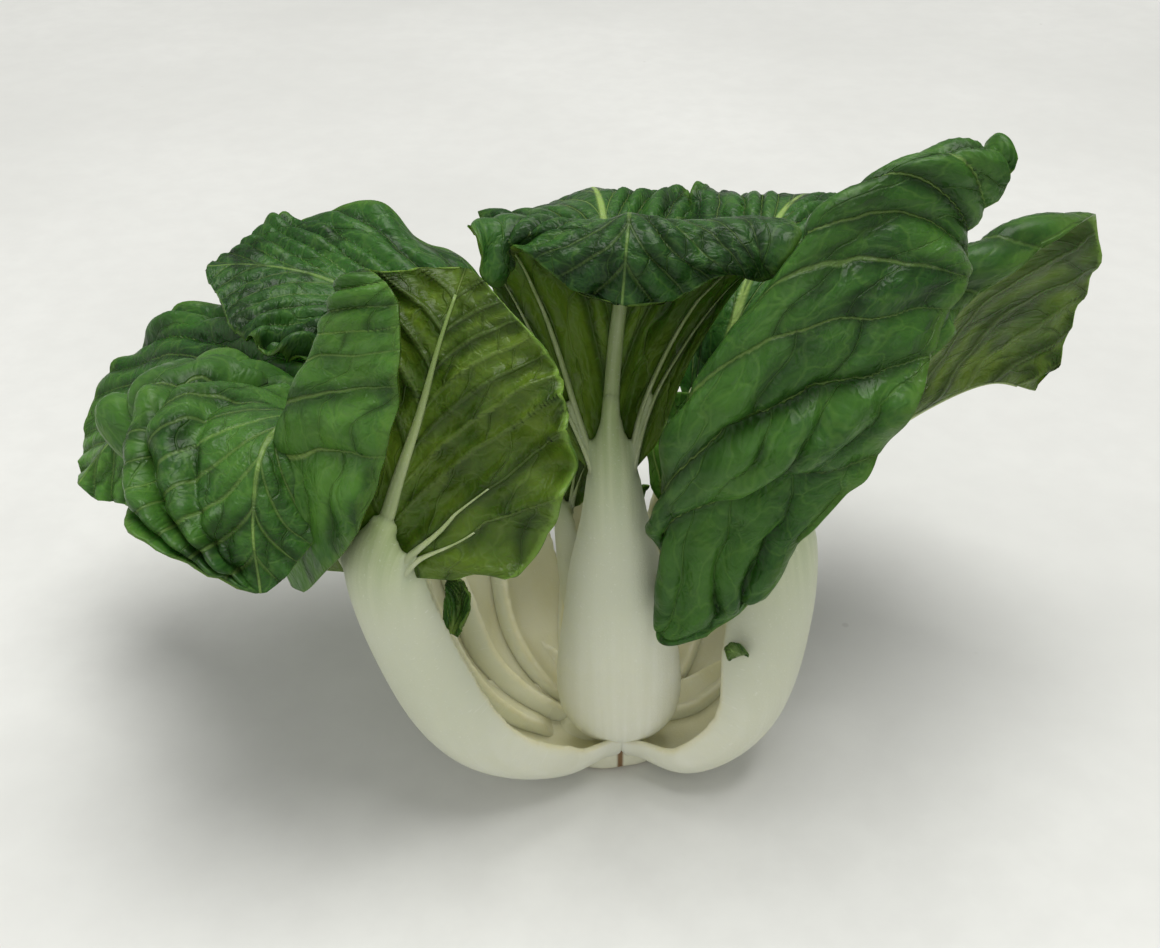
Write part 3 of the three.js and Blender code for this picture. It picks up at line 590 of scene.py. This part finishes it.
def shell_faces(rows, columns):
    """Faces of a closed sheet: an upper grid, the lower grid after it, and the edges between them."""
    faces = []
    below = rows * columns

    def up(i, j):
        return i * columns + j

    def down(i, j):
        return up(i, j) + below

    for i in range(rows - 1):
        for j in range(columns - 1):
            faces.append((up(i, j), up(i + 1, j), up(i + 1, j + 1), up(i, j + 1)))
            faces.append((down(i, j), down(i, j + 1), down(i + 1, j + 1), down(i + 1, j)))
        faces.append((up(i, 0), down(i, 0), down(i + 1, 0), up(i + 1, 0)))
        e = columns - 1
        faces.append((up(i, e), up(i + 1, e), down(i + 1, e), down(i, e)))
    e = rows - 1
    for j in range(columns - 1):
        faces.append((up(0, j), up(0, j + 1), down(0, j + 1), down(0, j)))
        faces.append((up(e, j), down(e, j), down(e, j + 1), up(e, j + 1)))
    return faces


def columns_of(leaf, side):
    step = COLUMN_STEP * max(size_of(leaf), LEAST_COLUMN_SIZE)
    return int(np.clip(side["width"] / step, *COLUMN_RANGE))


def blade_grid(leaf, seed):
    """The blade's middle surface with its details and its fields, from the left margin to the right one."""
    rows = BLADE_ROWS if size_of(leaf) == 1 else SMALL_BLADE_ROWS
    u = BLADE_START + (1 - BLADE_START) * np.linspace(0, 1, rows)
    parts = []
    for sign, side in ((-1, leaf["left"]), (1, leaf["right"])):
        columns = columns_of(leaf, side)
        place, face, s = side_surface(leaf, sign, u, columns)
        off, q, gap, cross = detail(leaf, side, sign, u, s, seed + SIDE_SEED * sign)
        place = place + face * off[..., None]
        if sign < 0:
            place, s, q, gap, cross = (a[:, :0:-1] for a in (place, s, q, gap, cross))
        parts.append((place, s * sign, q, gap, cross))
    place, s, q, gap, cross = (np.concatenate(part, axis=1) for part in zip(*parts))
    normal = unit(np.cross(np.gradient(place, axis=0), np.gradient(place, axis=1)))
    return u, place, normal, s, q, gap, cross


def build_blade(leaf, seed):
    u, place, normal, s, q, gap, cross = blade_grid(leaf, seed)
    rows, columns = s.shape
    outermost = smooth((np.abs(s) / np.abs(s).max() - 0.9) * 10)
    half = BLADE_THICKNESS / 2 * (1 - MARGIN_THINNER * outermost)
    upper = place + normal * half[..., None]
    lower = place - normal * half[..., None]
    points = np.concatenate([upper.reshape(-1, 3), lower.reshape(-1, 3)])
    uu = np.broadcast_to(u[:, None], s.shape)
    widest = np.maximum(np.where(s < 0, -s[:, :1], s[:, -1:]), 1e-6)
    vein = np.stack([q, np.abs(s), gap], -1).reshape(-1, 3)
    spot = np.stack([uu, np.abs(s) / widest, cross], -1).reshape(-1, 3)
    flat = np.stack([uu * blade_length(leaf), s, uu * 0 + seed], -1).reshape(-1, 3)
    face = np.concatenate([np.ones(rows * columns), np.zeros(rows * columns)])
    veins = face * 0 + leaf.get("veins", 1)
    tone = (leaf["tone"] + leaf.get("tip", 0) * smooth(uu * 3.3 - 2.3)).ravel()
    fields = {
        "vein": np.concatenate([vein, vein]),
        "spot": np.concatenate([spot, spot]),
        "flat": np.concatenate([flat, flat]),
        "face": np.stack([face, veins, np.concatenate([tone, tone])], -1),
    }
    return make_mesh("blade_%s_skin" % leaf["name"], points, shell_faces(rows, columns), fields)


def tube_faces(rows, sides, first):
    """Faces of a closed tube of rings, whose points start at first."""
    faces = []
    for i in range(rows - 1):
        for k in range(sides):
            n = (k + 1) % sides
            a, b = first + i * sides, first + (i + 1) * sides
            faces.append((a + k, a + n, b + n, b + k))
    faces.append(tuple(first + k for k in reversed(range(sides))))
    faces.append(tuple(first + (rows - 1) * sides + k for k in range(sides)))
    return faces


def rib_points(leaf, sign, kind):
    """A rib under the blade as rings of points. kind is None for the midrib or a side vein's number."""
    size = size_of(leaf)
    side = leaf["right"] if sign > 0 else leaf["left"]
    if kind is None:
        u = np.linspace(MIDRIB_START, MIDRIB_END, RIB_ROWS)
        middle = u * 0
        width, depth = MIDRIB
        reach = np.linspace(0, 1, RIB_ROWS)
    else:
        first = SIDE_RIB_START * size
        begin, end = SIDE_VEINS[kind]
        end = end * leaf.get("fan", 1)
        reach = np.linspace(0, 1, RIB_ROWS)
        middle = first + (rib_reach(leaf, side) - first) * reach**RIB_SPACING_POWER
        u = begin + (end - begin) * ((middle - first) / (side["width"] - first)) ** RIB_POWER
        root_u = np.linspace(RIB_ROOT, begin, RIB_ROOT_ROWS + 1)[:-1]
        root = np.linspace(first * RIB_ROOT_SHARE, first, RIB_ROOT_ROWS + 1)[:-1]
        u = np.concatenate([root_u, u])
        middle = np.concatenate([root, middle])
        reach = np.concatenate([np.zeros(RIB_ROOT_ROWS), reach])
        width, depth = (measure * (1.0 - NEXT_RIB_THINNER * kind) for measure in SIDE_RIB)
    power = LONG_RIB_TAPER_POWER if "reach" in leaf else RIB_TAPER_POWER
    taper = RIB_END + (1 - RIB_END) * (1 - reach) ** power
    half = width * size * taper / 2
    deep = depth * size * taper
    columns = columns_of(leaf, side) * 2
    place, face, s = side_surface(leaf, sign, u, columns)
    other, other_face, other_s = side_surface(leaf, -sign, u, OTHER_SIDE_COLUMNS)
    turn = 2 * np.pi * np.arange(RIB_SIDES) / RIB_SIDES
    rings = []
    for i in range(len(u)):
        line = np.concatenate([other[i, :0:-1], place[i]])
        line_face = np.concatenate([other_face[i, :0:-1], face[i]])
        line_s = np.concatenate([-other_s[i, :0:-1], s[i]])
        x = middle[i] + half[i] * np.cos(turn)
        z = RIB_SINKS - BLADE_THICKNESS / 2 - deep[i] / 2 - deep[i] / 2 * np.sin(turn)
        p = np.stack([np.interp(x, line_s, line[:, k]) for k in range(3)], -1)
        n = unit(np.stack([np.interp(x, line_s, line_face[:, k]) for k in range(3)], -1))
        ring = p + n * z[:, None]
        rings.append(ring if sign > 0 else ring[::-1])
    return np.array(rings)


def channel_points(leaf):
    """The stalk as an upper and a lower grid of points, which run out under the blade."""
    end = stalk_end(leaf)
    t = np.linspace(0, end + (1 - end) * STALK_RUN_OUT, STALK_ROWS)
    if leaf.get("heel"):
        t = np.concatenate([[0.0] * HEEL_ROWS, t])
    point, along, side, up = frames_at(leaf, t)
    if leaf.get("heel"):
        back = np.linspace(leaf["heel"], leaf["heel"] / HEEL_ROWS, HEEL_ROWS)
        point[:HEEL_ROWS] -= along[:HEEL_ROWS] * back[:, None]
    width, thickness, hollow = along_rows(leaf["section"], np.minimum(t / end, 1)).T
    before = smooth(RUN_OUT_START)
    out = (t - end) / ((1 - end) * STALK_RUN_OUT) * (1 - RUN_OUT_START) + RUN_OUT_START
    out = np.maximum(smooth(out) - before, 0) / (1 - before)
    neck = leaf.get("neck", 0) * smooth((t / end - 0.7) * 3.5)
    width = width * (1 - RUN_OUT_NARROWER * out) * (1 - neck)
    thickness = thickness * (1 - RUN_OUT_THINNER * out)
    hollow = hollow * (1 - RUN_OUT_FLATTER * out)
    point = point - up * (out * RUN_OUT_SINKS)[:, None]
    bend = np.radians(hollow)
    radius = width / bend
    x = np.linspace(-1, 1, STALK_COLUMNS)
    angle = bend[:, None] * x[None, :] / 2
    middle = 1 - np.abs(x) ** STALK_EDGE_POWER
    thick = STALK_EDGE + (thickness - STALK_EDGE)[:, None] * middle[None, :]

    def at(r):
        return (point[:, None] + side[:, None] * (r * np.sin(angle))[..., None]
                + up[:, None] * (radius[:, None] - r * np.cos(angle))[..., None])

    return at(radius[:, None] + 0 * angle), at(radius[:, None] + thick)


def with_tubes(points, faces, tubes):
    """The points and faces with those of the tubes after them."""
    points = [points]
    count = len(points[0])
    for rings in tubes:
        points.append(rings.reshape(-1, 3))
        faces = faces + tube_faces(len(rings), RIB_SIDES, count)
        count += len(rings) * RIB_SIDES
    return np.concatenate(points), faces


def build_stalk(leaf, seed):
    """The channel and the thick part of its ribs become one smooth body, and whole ribs run out of it."""
    upper, lower = channel_points(leaf)
    ribs = [rib_points(leaf, sign, kind) for sign, kind in RIBS]
    points = np.concatenate([upper.reshape(-1, 3), lower.reshape(-1, 3)])
    thick = [rings[:int(len(rings) * BLENDED_PART)] for rings in ribs]
    rough = make_mesh("rough_stalk", *with_tubes(points, shell_faces(*upper.shape[:2]), thick))
    small = size_of(leaf) < 1
    remesh = rough.modifiers.new("remesh", "REMESH")
    remesh.mode = "VOXEL"
    remesh.voxel_size = (SMALL_VOXEL if small else VOXEL) * MM
    relax = rough.modifiers.new("relax", "SMOOTH")
    relax.factor = RELAX_FACTOR
    relax.iterations = SMALL_RELAX_STEPS if small else RELAX_STEPS
    shaped = bpy.data.meshes.new_from_object(rough.evaluated_get(bpy.context.evaluated_depsgraph_get()))
    bpy.data.objects.remove(rough)
    co = np.zeros(len(shaped.vertices) * 3, np.float32)
    shaped.vertices.foreach_get("co", co)
    faces = [tuple(p.vertices) for p in shaped.polygons]
    body = co.reshape(-1, 3).astype(float) / MM
    co, faces = with_tubes(body, faces, [rings[RIB_ROOT_ROWS:] for rings in ribs])
    piece = make_mesh("stalk_%s_skin" % leaf["name"], co, faces)
    bpy.data.meshes.remove(shaped)
    normal = np.array([v.normal[:] for v in piece.data.vertices])
    point, along, side, up = frames_at(leaf, np.linspace(0, 1, PATH_SAMPLES))
    nearest = np.concatenate([
        ((part[:, None] - point[None]) ** 2).sum(-1).argmin(1) for part in np.array_split(co, 12)
    ])
    run = np.concatenate([[0], np.cumsum(np.linalg.norm(np.diff(point, axis=0), axis=1))])
    offset = co - point[nearest]
    x = (offset * side[nearest]).sum(1)
    inner = (normal * up[nearest]).sum(1)
    distance = run[nearest] + (offset * along[nearest]).sum(1)
    end = run[int(stalk_end(leaf) * (PATH_SAMPLES - 1))]
    beyond = (distance - end) / blade_length(leaf)
    fields = {
        "grain": np.stack([distance, x, distance * 0 + seed], -1),
        "spot": np.stack([distance / max(end, 1), inner * 0.5 + 0.5, beyond], -1),
    }
    add_fields(piece.data, fields)
    return piece


def build_crown():
    sides = CROWN_SIDES
    outline = along_rows(CROWN_OUTLINE, np.linspace(0, 1, CROWN_STEPS))
    points = [(0, 0, 0)]
    turns = 2 * np.pi * np.arange(sides) / sides
    rings = [(share * CROWN_RADIUS, 0.0) for share in (0.35, 0.7, 0.92)] + [tuple(p) for p in outline]
    for radius, height in rings:
        for a in turns:
            place = (math.cos(a) * 2, math.sin(a) * 2, height * 0.15)
            lump = 1 + CROWN_LUMPS * noise.noise(place)
            points.append((radius * lump * math.cos(a), radius * lump * math.sin(a), height))
    points.append((0, 0, CROWN_HEIGHT))
    faces = []
    for k in range(sides):
        n = (k + 1) % sides
        faces.append((0, 1 + n, 1 + k))
        for i in range(len(rings) - 1):
            a, b = 1 + i * sides, 1 + (i + 1) * sides
            faces.append((a + k, a + n, b + n, b + k))
        top = 1 + (len(rings) - 1) * sides
        faces.append((top + k, top + n, len(points) - 1))
    return make_mesh("crown_skin", points, faces)


# Colours of the finishes, and of painted light and shade. A pair is mixed by noise.
# painted light, soft-lit onto the tops of the blade's puffed panels
PAINTED_TOP_LIGHT = (1.0, 1.0, 1.0)
OLD_GREEN = ((0.008, 0.031, 0.006), (0.024, 0.078, 0.012))
OLD_SPOT = (0.02, 0.075, 0.014)
YOUNG_GREEN = ((0.03, 0.1, 0.013), (0.095, 0.22, 0.024))
UPPER_CROSS_VEIN = (0.1, 0.2, 0.035)
UPPER_NET = (0.08, 0.17, 0.03)
UPPER_VEIN = (0.24, 0.36, 0.09)
UPPER_RIM = (0.1, 0.2, 0.03)
UNDER_GREEN = ((0.03, 0.06, 0.005), (0.085, 0.138, 0.011))
UNDER_SPOT = (0.05, 0.095, 0.015)
UNDER_CROSS_VEIN = (0.14, 0.2, 0.06)
UNDER_VEIN = (0.22, 0.3, 0.09)
UNDER_RIM = (0.17, 0.29, 0.045)
# painted shade, multiplied into the creases between the blade's puffed panels
CREASE_PAINTED_SHADE = (0.35, 0.42, 0.38)
STALK_WHITE = ((0.74, 0.75, 0.61), (0.8, 0.81, 0.69))
STALK_CLOUD = (0.7, 0.71, 0.55)
STALK_CREAM = ((0.7, 0.67, 0.42), (0.74, 0.72, 0.52))
STALK_TOP = (0.6, 0.63, 0.48)
# painted sparkle: pale specks that stand in for the stalk's speckled sheen
STALK_PAINTED_SPARKLE = (0.84, 0.85, 0.77)
RIB_GREEN = ((0.3, 0.41, 0.13), (0.46, 0.55, 0.26))
RIB_END_GREEN = (0.17, 0.27, 0.055)
CROWN_SIDE = ((0.66, 0.66, 0.48), (0.76, 0.76, 0.61))
CUT_FACE = ((0.42, 0.34, 0.2), (0.6, 0.55, 0.38))
CUT_RING = (0.3, 0.22, 0.11)
SLIT_BROWN = (0.2, 0.11, 0.04)
TABLE = ((0.66, 0.665, 0.64), (0.74, 0.745, 0.72))
TABLE_GRAIN = (0.62, 0.62, 0.6)
TABLE_SPECK = (0.42, 0.41, 0.38)

# The brown ring of the cut face and the brown slit between the outer stalks, in metres
RING_RADIUS = 0.0095
SLIT_X = 0.0033
SLIT_Y = (-0.018, -0.014)


class Nodes:
    """Short ways to add shader nodes to one material."""

    def __init__(self, name):
        self.material = bpy.data.materials.new(name)
        self.material.use_nodes = True
        self.tree = self.material.node_tree
        self.shader = self.tree.nodes["Principled BSDF"]

    def link(self, value, socket):
        if isinstance(value, bpy.types.NodeSocket):
            self.tree.links.new(value, socket)
        elif isinstance(value, tuple) and len(value) == 3 and socket.type == "RGBA":
            socket.default_value = (*value, 1)
        else:
            socket.default_value = value

    def add(self, kind, values=(), **settings):
        node = self.tree.nodes.new(kind)
        for key, value in settings.items():
            setattr(node, key, value)
        for key, value in dict(values).items():
            self.link(value, node.inputs[key])
        return node

    def math(self, operation, *values):
        node = self.add("ShaderNodeMath", operation=operation)
        for k, value in enumerate(values):
            self.link(value, node.inputs[k])
        return node.outputs[0]

    def ramp(self, value, low, high, to_low=0.0, to_high=1.0):
        node = self.add("ShaderNodeMapRange", interpolation_type="SMOOTHSTEP")
        limits = {"From Min": low, "From Max": high, "To Min": to_low, "To Max": to_high}
        for key, number in limits.items():
            self.link(number, node.inputs[key])
        self.link(value, node.inputs["Value"])
        return node.outputs[0]

    def mix(self, factor, first, second, blend="MIX"):
        node = self.add("ShaderNodeMix", data_type="RGBA", blend_type=blend)
        self.link(factor, node.inputs[0])
        self.link(first, node.inputs[6])
        self.link(second, node.inputs[7])
        return node.outputs[2]

    def field(self, name):
        return self.add("ShaderNodeAttribute", attribute_name=name).outputs["Vector"]

    def split(self, vector):
        return self.add("ShaderNodeSeparateXYZ", {0: vector}).outputs

    def scaled(self, vector, scale):
        node = self.add("ShaderNodeVectorMath", operation="MULTIPLY")
        self.link(vector, node.inputs[0])
        node.inputs[1].default_value = scale
        return node.outputs[0]

    def noise(self, vector, scale, detail=3.0, rough=0.5, output="Fac"):
        values = {"Vector": vector, "Scale": scale, "Detail": detail, "Roughness": rough}
        return self.add("ShaderNodeTexNoise", values).outputs[output]

    def cells(self, vector, scale):
        """The distance to the nearest border between cells."""
        values = {"Vector": vector, "Scale": scale}
        return self.add("ShaderNodeTexVoronoi", values, feature="DISTANCE_TO_EDGE").outputs["Distance"]

    def off_whole(self, value):
        """How far a value is from the nearest whole number."""
        return self.math("ABSOLUTE", self.math("SUBTRACT", value, self.math("ROUND", value)))

    def bump(self, height, strength, distance):
        values = {"Height": height, "Strength": strength, "Distance": distance}
        return self.add("ShaderNodeBump", values).outputs[0]

    def set(self, **values):
        for key, value in values.items():
            self.link(value, self.shader.inputs[key.replace("_", " ")])


def blade_material():
    m = Nodes("leaf_blade")
    q, s, gap = m.split(m.field("vein"))
    u, edge, cross = m.split(m.field("spot"))
    face, veins, tone = m.split(m.field("face"))
    flat = m.field("flat")
    seed = m.split(flat)[2]
    swirl = m.scaled(m.noise(flat, 0.13, 2.0, output="Color"), (8, 8, 8))
    bent = m.add("ShaderNodeVectorMath", {0: swirl, 1: flat}, operation="ADD").outputs[0]

    # Veins: the midrib, the side veins, the cross veins between them and two nets
    nearest = m.math("ROUND", q)
    beside = m.math("MULTIPLY", m.off_whole(q), gap)
    width = m.ramp(edge, 0.0, 1.0, 0.8, 0.32)
    side_vein = m.ramp(beside, m.math("MULTIPLY", width, 0.3), m.math("MULTIPLY", width, 1.6), 1.0, 0.0)
    number = m.math("MULTIPLY_ADD", seed, 7.3, nearest)
    draw = m.add("ShaderNodeTexWhiteNoise", {"W": number}, noise_dimensions="1D").outputs["Value"]
    power = m.math("MAXIMUM", m.ramp(draw, 0.0, 1.0, 0.45, 1.0), m.ramp(nearest, 2.1, 2.9, 1.0, 0.0))
    power = m.math("MULTIPLY", power, m.ramp(edge, 0.6, 1.0, 1.0, 0.4))
    side_vein = m.math("MULTIPLY", side_vein, power)
    mid_width = m.ramp(u, 0.0, 0.95, 1.6, 0.3)
    midrib = m.ramp(s, m.math("MULTIPLY", mid_width, 0.5), m.math("MULTIPLY", mid_width, 1.5), 1.0, 0.0)
    strong = m.math("MULTIPLY", m.math("MAXIMUM", side_vein, midrib), veins)

    from_rung = m.off_whole(cross)
    rung = m.ramp(from_rung, 0.005, 0.035, 1.0, 0.0)
    net = m.cells(bent, 0.11)
    fine = m.cells(bent, 0.5)
    net_line = m.ramp(net, 0.0, 0.06, 1.0, 0.0)
    fine_line = m.ramp(fine, 0.0, 0.14, 1.0, 0.0)
    weak = m.math("MAXIMUM", m.math("MULTIPLY", rung, 0.8), m.math("MULTIPLY", net_line, 0.6))

    # The tops of the puffed panels, away from the veins that crease the blade: they carry painted light on
    # the tops and painted shade in the creases
    rung_away = m.math("MULTIPLY", from_rung, CELL)
    weak_crease = m.ramp(m.noise(flat, 0.05, 2.0), 0.3, 0.7, 0.0, 5.0)
    vein_away = m.math("ADD", beside, m.ramp(draw, 0.1, 0.8, 4.0, 0.0))
    away = m.math("MINIMUM", vein_away, m.math("ADD", rung_away, weak_crease))
    top = m.ramp(away, 0.3, 5.5)

    patch = m.noise(flat, 0.045, 4.0, 0.6)
    spots = m.noise(flat, 0.35, 3.0, 0.6)
    cloudy = m.ramp(patch, 0.3, 0.7)
    dark = m.mix(cloudy, *OLD_GREEN)
    dark = m.mix(m.ramp(spots, 0.35, 0.75, 0.0, 0.3), dark, OLD_SPOT)
    light = m.mix(cloudy, *YOUNG_GREEN)
    upper = m.mix(tone, dark, light)
    upper = m.mix(m.math("MULTIPLY", weak, 0.32), upper, UPPER_CROSS_VEIN)
    upper = m.mix(m.math("MULTIPLY", fine_line, 0.08), upper, UPPER_NET)
    upper = m.mix(m.math("MULTIPLY", strong, 0.75), upper, UPPER_VEIN)
    under = m.mix(cloudy, *UNDER_GREEN)
    under = m.mix(m.ramp(spots, 0.35, 0.75, 0.0, 0.35), under, UNDER_SPOT)
    under = m.mix(m.math("MULTIPLY", weak, 0.25), under, UNDER_CROSS_VEIN)
    under = m.mix(m.math("MULTIPLY", strong, 0.4), under, UNDER_VEIN)
    colour = m.mix(face, under, upper)
    # Painted shade darkens the creases, and painted light brightens the tops of the puffed panels.
    colour = m.mix(m.ramp(top, 0.0, 1.0, 0.7, 0.0), colour, CREASE_PAINTED_SHADE, "MULTIPLY")
    colour = m.mix(m.math("MULTIPLY", top, 0.42), colour, PAINTED_TOP_LIGHT, "SOFT_LIGHT")
    rim_start = m.ramp(spots, 0.3, 0.7, 0.9, 0.97)
    rim_power = m.ramp(face, 0.0, 1.0, 0.85, 0.5)
    rim = m.ramp(edge, rim_start, 1.0, 0.0, rim_power)
    colour = m.mix(rim, colour, m.mix(face, UNDER_RIM, UPPER_RIM))

    # Relief that is too fine for the mesh, turned round for the under face
    pillow = m.math("MULTIPLY", m.ramp(net, 0.0, 0.5), 0.9)
    pillow = m.math("MULTIPLY_ADD", m.ramp(fine, 0.0, 0.4), 0.12, pillow)
    pillow = m.math("MULTIPLY_ADD", m.noise(flat, 0.25, 2.0), 0.6, pillow)
    groove = m.math("MAXIMUM", strong, m.math("MULTIPLY", rung, 0.4))
    pillow = m.math("MULTIPLY_ADD", groove, -0.7, pillow)
    height = m.math("MULTIPLY", pillow, m.ramp(face, 0.0, 1.0, -1.0, 1.0))
    m.set(Base_Color=colour, Roughness=m.ramp(spots, 0.2, 0.8, 0.3, 0.44), Normal=m.bump(height, 0.85, MM))
    m.set(Specular_IOR_Level=0.2, Subsurface_Weight=0.12, Subsurface_Scale=0.004)
    m.shader.inputs["Subsurface Radius"].default_value = (0.45, 1.0, 0.08)
    return m.material


def stalk_material():
    m = Nodes("white_stalk")
    share, inner, beyond = m.split(m.field("spot"))
    grain = m.field("grain")
    streak = m.noise(m.scaled(grain, (0.02, 0.4, 1.0)), 1.0, 3.0, 0.5)
    cloud = m.noise(grain, 0.05, 3.0)
    speck = m.noise(grain, 1.1, 3.0, 0.7)
    white = m.mix(m.ramp(streak, 0.3, 0.75), *STALK_WHITE)
    white = m.mix(m.ramp(cloud, 0.35, 0.7, 0.0, 0.5), white, STALK_CLOUD)
    cream = m.mix(m.ramp(cloud, 0.35, 0.7), *STALK_CREAM)
    warm = m.math("MULTIPLY", m.ramp(inner, 0.5, 0.85), m.ramp(share, 0.3, 1.0, 0.9, 0.5))
    white = m.mix(m.ramp(share, 0.15, 0.8), white, STALK_TOP)
    colour = m.mix(warm, white, cream)
    green = m.mix(m.ramp(streak, 0.35, 0.7), *RIB_GREEN)
    colour = m.mix(m.ramp(beyond, -0.2, 0.3, 0.0, 0.9), colour, green)
    colour = m.mix(m.ramp(beyond, 0.3, 0.85, 0.0, 0.85), colour, RIB_END_GREEN)
    # Pale specks of painted sparkle for the speckled sheen; the same noise also gives real bumps and
    # roughness.
    colour = m.mix(m.ramp(speck, 0.6, 0.72, 0.0, 0.35), colour, STALK_PAINTED_SPARKLE)
    height = m.math("MULTIPLY_ADD", speck, 0.5, m.math("MULTIPLY", streak, 0.45))
    roughness = m.ramp(speck, 0.3, 0.7, 0.36, 0.5)
    m.set(Base_Color=colour, Roughness=roughness, Normal=m.bump(height, 0.4, 0.8 * MM))
    m.set(Specular_IOR_Level=0.35, Subsurface_Weight=0.25, Subsurface_Scale=0.006)
    m.shader.inputs["Subsurface Radius"].default_value = (1.0, 0.9, 0.5)
    return m.material


def crown_material():
    m = Nodes("root_end")
    place = m.add("ShaderNodeTexCoord").outputs["Object"]
    x, y, z = m.split(place)
    radius = m.math("SQRT", m.math("ADD", m.math("MULTIPLY", x, x), m.math("MULTIPLY", y, y)))
    cut = m.ramp(z, 0.0, 0.002, 1.0, 0.0)
    rough = m.noise(m.scaled(place, (300, 300, 300)), 1.0, 4.0, 0.6)
    ring = m.ramp(m.math("ABSOLUTE", m.math("SUBTRACT", radius, RING_RADIUS)), 0.0, 0.002, 1.0, 0.0)
    side = m.mix(rough, *CROWN_SIDE)
    slit = m.ramp(m.math("ABSOLUTE", m.math("SUBTRACT", x, SLIT_X)), 0.0004, 0.0014, 1.0, 0.0)
    slit = m.math("MULTIPLY", slit, m.ramp(y, *SLIT_Y, 1.0, 0.0))
    side = m.mix(slit, side, SLIT_BROWN)
    face = m.mix(rough, *CUT_FACE)
    face = m.mix(ring, face, CUT_RING)
    m.set(Base_Color=m.mix(cut, side, face), Roughness=0.6, Normal=m.bump(rough, 0.5, MM))
    return m.material


def table_material():
    m = Nodes("table")
    place = m.add("ShaderNodeTexCoord").outputs["Object"]
    cloud = m.noise(place, 2.5, 4.0, 0.55)
    grain = m.noise(place, 60.0, 3.0, 0.6)
    colour = m.mix(m.ramp(cloud, 0.3, 0.7), *TABLE)
    colour = m.mix(m.ramp(grain, 0.3, 0.7, 0.0, 0.25), colour, TABLE_GRAIN)
    speck = m.add("ShaderNodeTexVoronoi", {"Vector": place, "Scale": 22.0}).outputs
    draw = m.split(speck["Color"])[0]
    spread = m.ramp(draw, 0.6, 1.0, 0.0, 0.045)
    speck = m.ramp(m.math("SUBTRACT", spread, speck["Distance"]), 0.0, 0.02, 0.0, 0.35)
    colour = m.mix(speck, colour, TABLE_SPECK)
    m.set(Base_Color=colour, Roughness=0.55)
    return m.material


# Build
blade_look = blade_material()
stalk_look = stalk_material()
crown_look = crown_material()

crown = build_crown()
crown.data.materials.append(crown_look)
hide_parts("crown")
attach(crown, "root")

for number, leaf in enumerate(LEAVES):
    blade = build_blade(leaf, number + 1.0)
    blade.data.materials.append(blade_look)
    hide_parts("blade_" + leaf["name"])
    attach(blade, "root")
    stalk = build_stalk(leaf, number + 1.0)
    stalk.data.materials.append(stalk_look)
    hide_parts("stalk_" + leaf["name"])
    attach(stalk, "root")

for number, leaf in enumerate(LEAFLETS):
    blade = build_blade(leaf, number + 20.0)
    blade.name = leaf["name"] + "_skin"
    blade.data.materials.append(blade_look)
    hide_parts(leaf["name"])
    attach(blade, "root")

# Stage
TABLE_SIZE = 60
ROOM_COLOUR = (1.0, 0.995, 0.98)
ROOM_STRENGTH = 0.36
HEAD_MIDDLE = (0, 0, 0.05)
SENSOR_WIDTH = 36
LENS = 43.45
CLIP_START = 0.01
CAMERA_PLACE = (-0.0096, -0.3420, 0.3319)
CAMERA_TILT = 56

bpy.ops.mesh.primitive_plane_add(size=TABLE_SIZE, location=(0, 0, 0))
floor = bpy.context.object
floor.name = "table"
floor.data.materials.append(table_material())

world = bpy.data.worlds.new("room")
bpy.context.scene.world = world
world.use_nodes = True
background = world.node_tree.nodes["Background"]
background.inputs["Color"].default_value = (*ROOM_COLOUR, 1)
background.inputs["Strength"].default_value = ROOM_STRENGTH


def area_light(name, place, aim, size, watts, colour=(1, 1, 1)):
    data = bpy.data.lights.new(name, "AREA")
    data.shape = "RECTANGLE"
    data.size, data.size_y = size
    data.energy = watts
    data.color = colour
    lamp = bpy.data.objects.new(name, data)
    bpy.context.scene.collection.objects.link(lamp)
    lamp.location = place
    way = np.array(aim, float) - np.array(place, float)
    lamp.rotation_mode = "QUATERNION"
    lamp.rotation_quaternion = Vector(way.tolist()).to_track_quat("-Z", "Y")
    return lamp


area_light("ceiling", (0.15, 0.3, 2.6), HEAD_MIDDLE, (2.0, 1.7), 63, (1.0, 0.995, 0.97))
area_light("room_front", (0.5, -2.4, 1.3), HEAD_MIDDLE, (2.0, 1.2), 11, (1.0, 1.0, 0.99))
area_light("room_left", (-1.5, -0.4, 0.7), (-0.1, 0, 0.0), (1.0, 0.8), 3, (1.0, 1.0, 0.99))

camera = bpy.data.objects.new("camera", bpy.data.cameras.new("camera"))
bpy.context.scene.collection.objects.link(camera)
camera.data.sensor_width = SENSOR_WIDTH
camera.data.lens = LENS
camera.data.clip_start = CLIP_START
camera.location = CAMERA_PLACE
camera.rotation_euler = (math.radians(CAMERA_TILT), 0, 0)
bpy.context.scene.camera = camera
bpy.context.scene.view_settings.view_transform = "Standard"
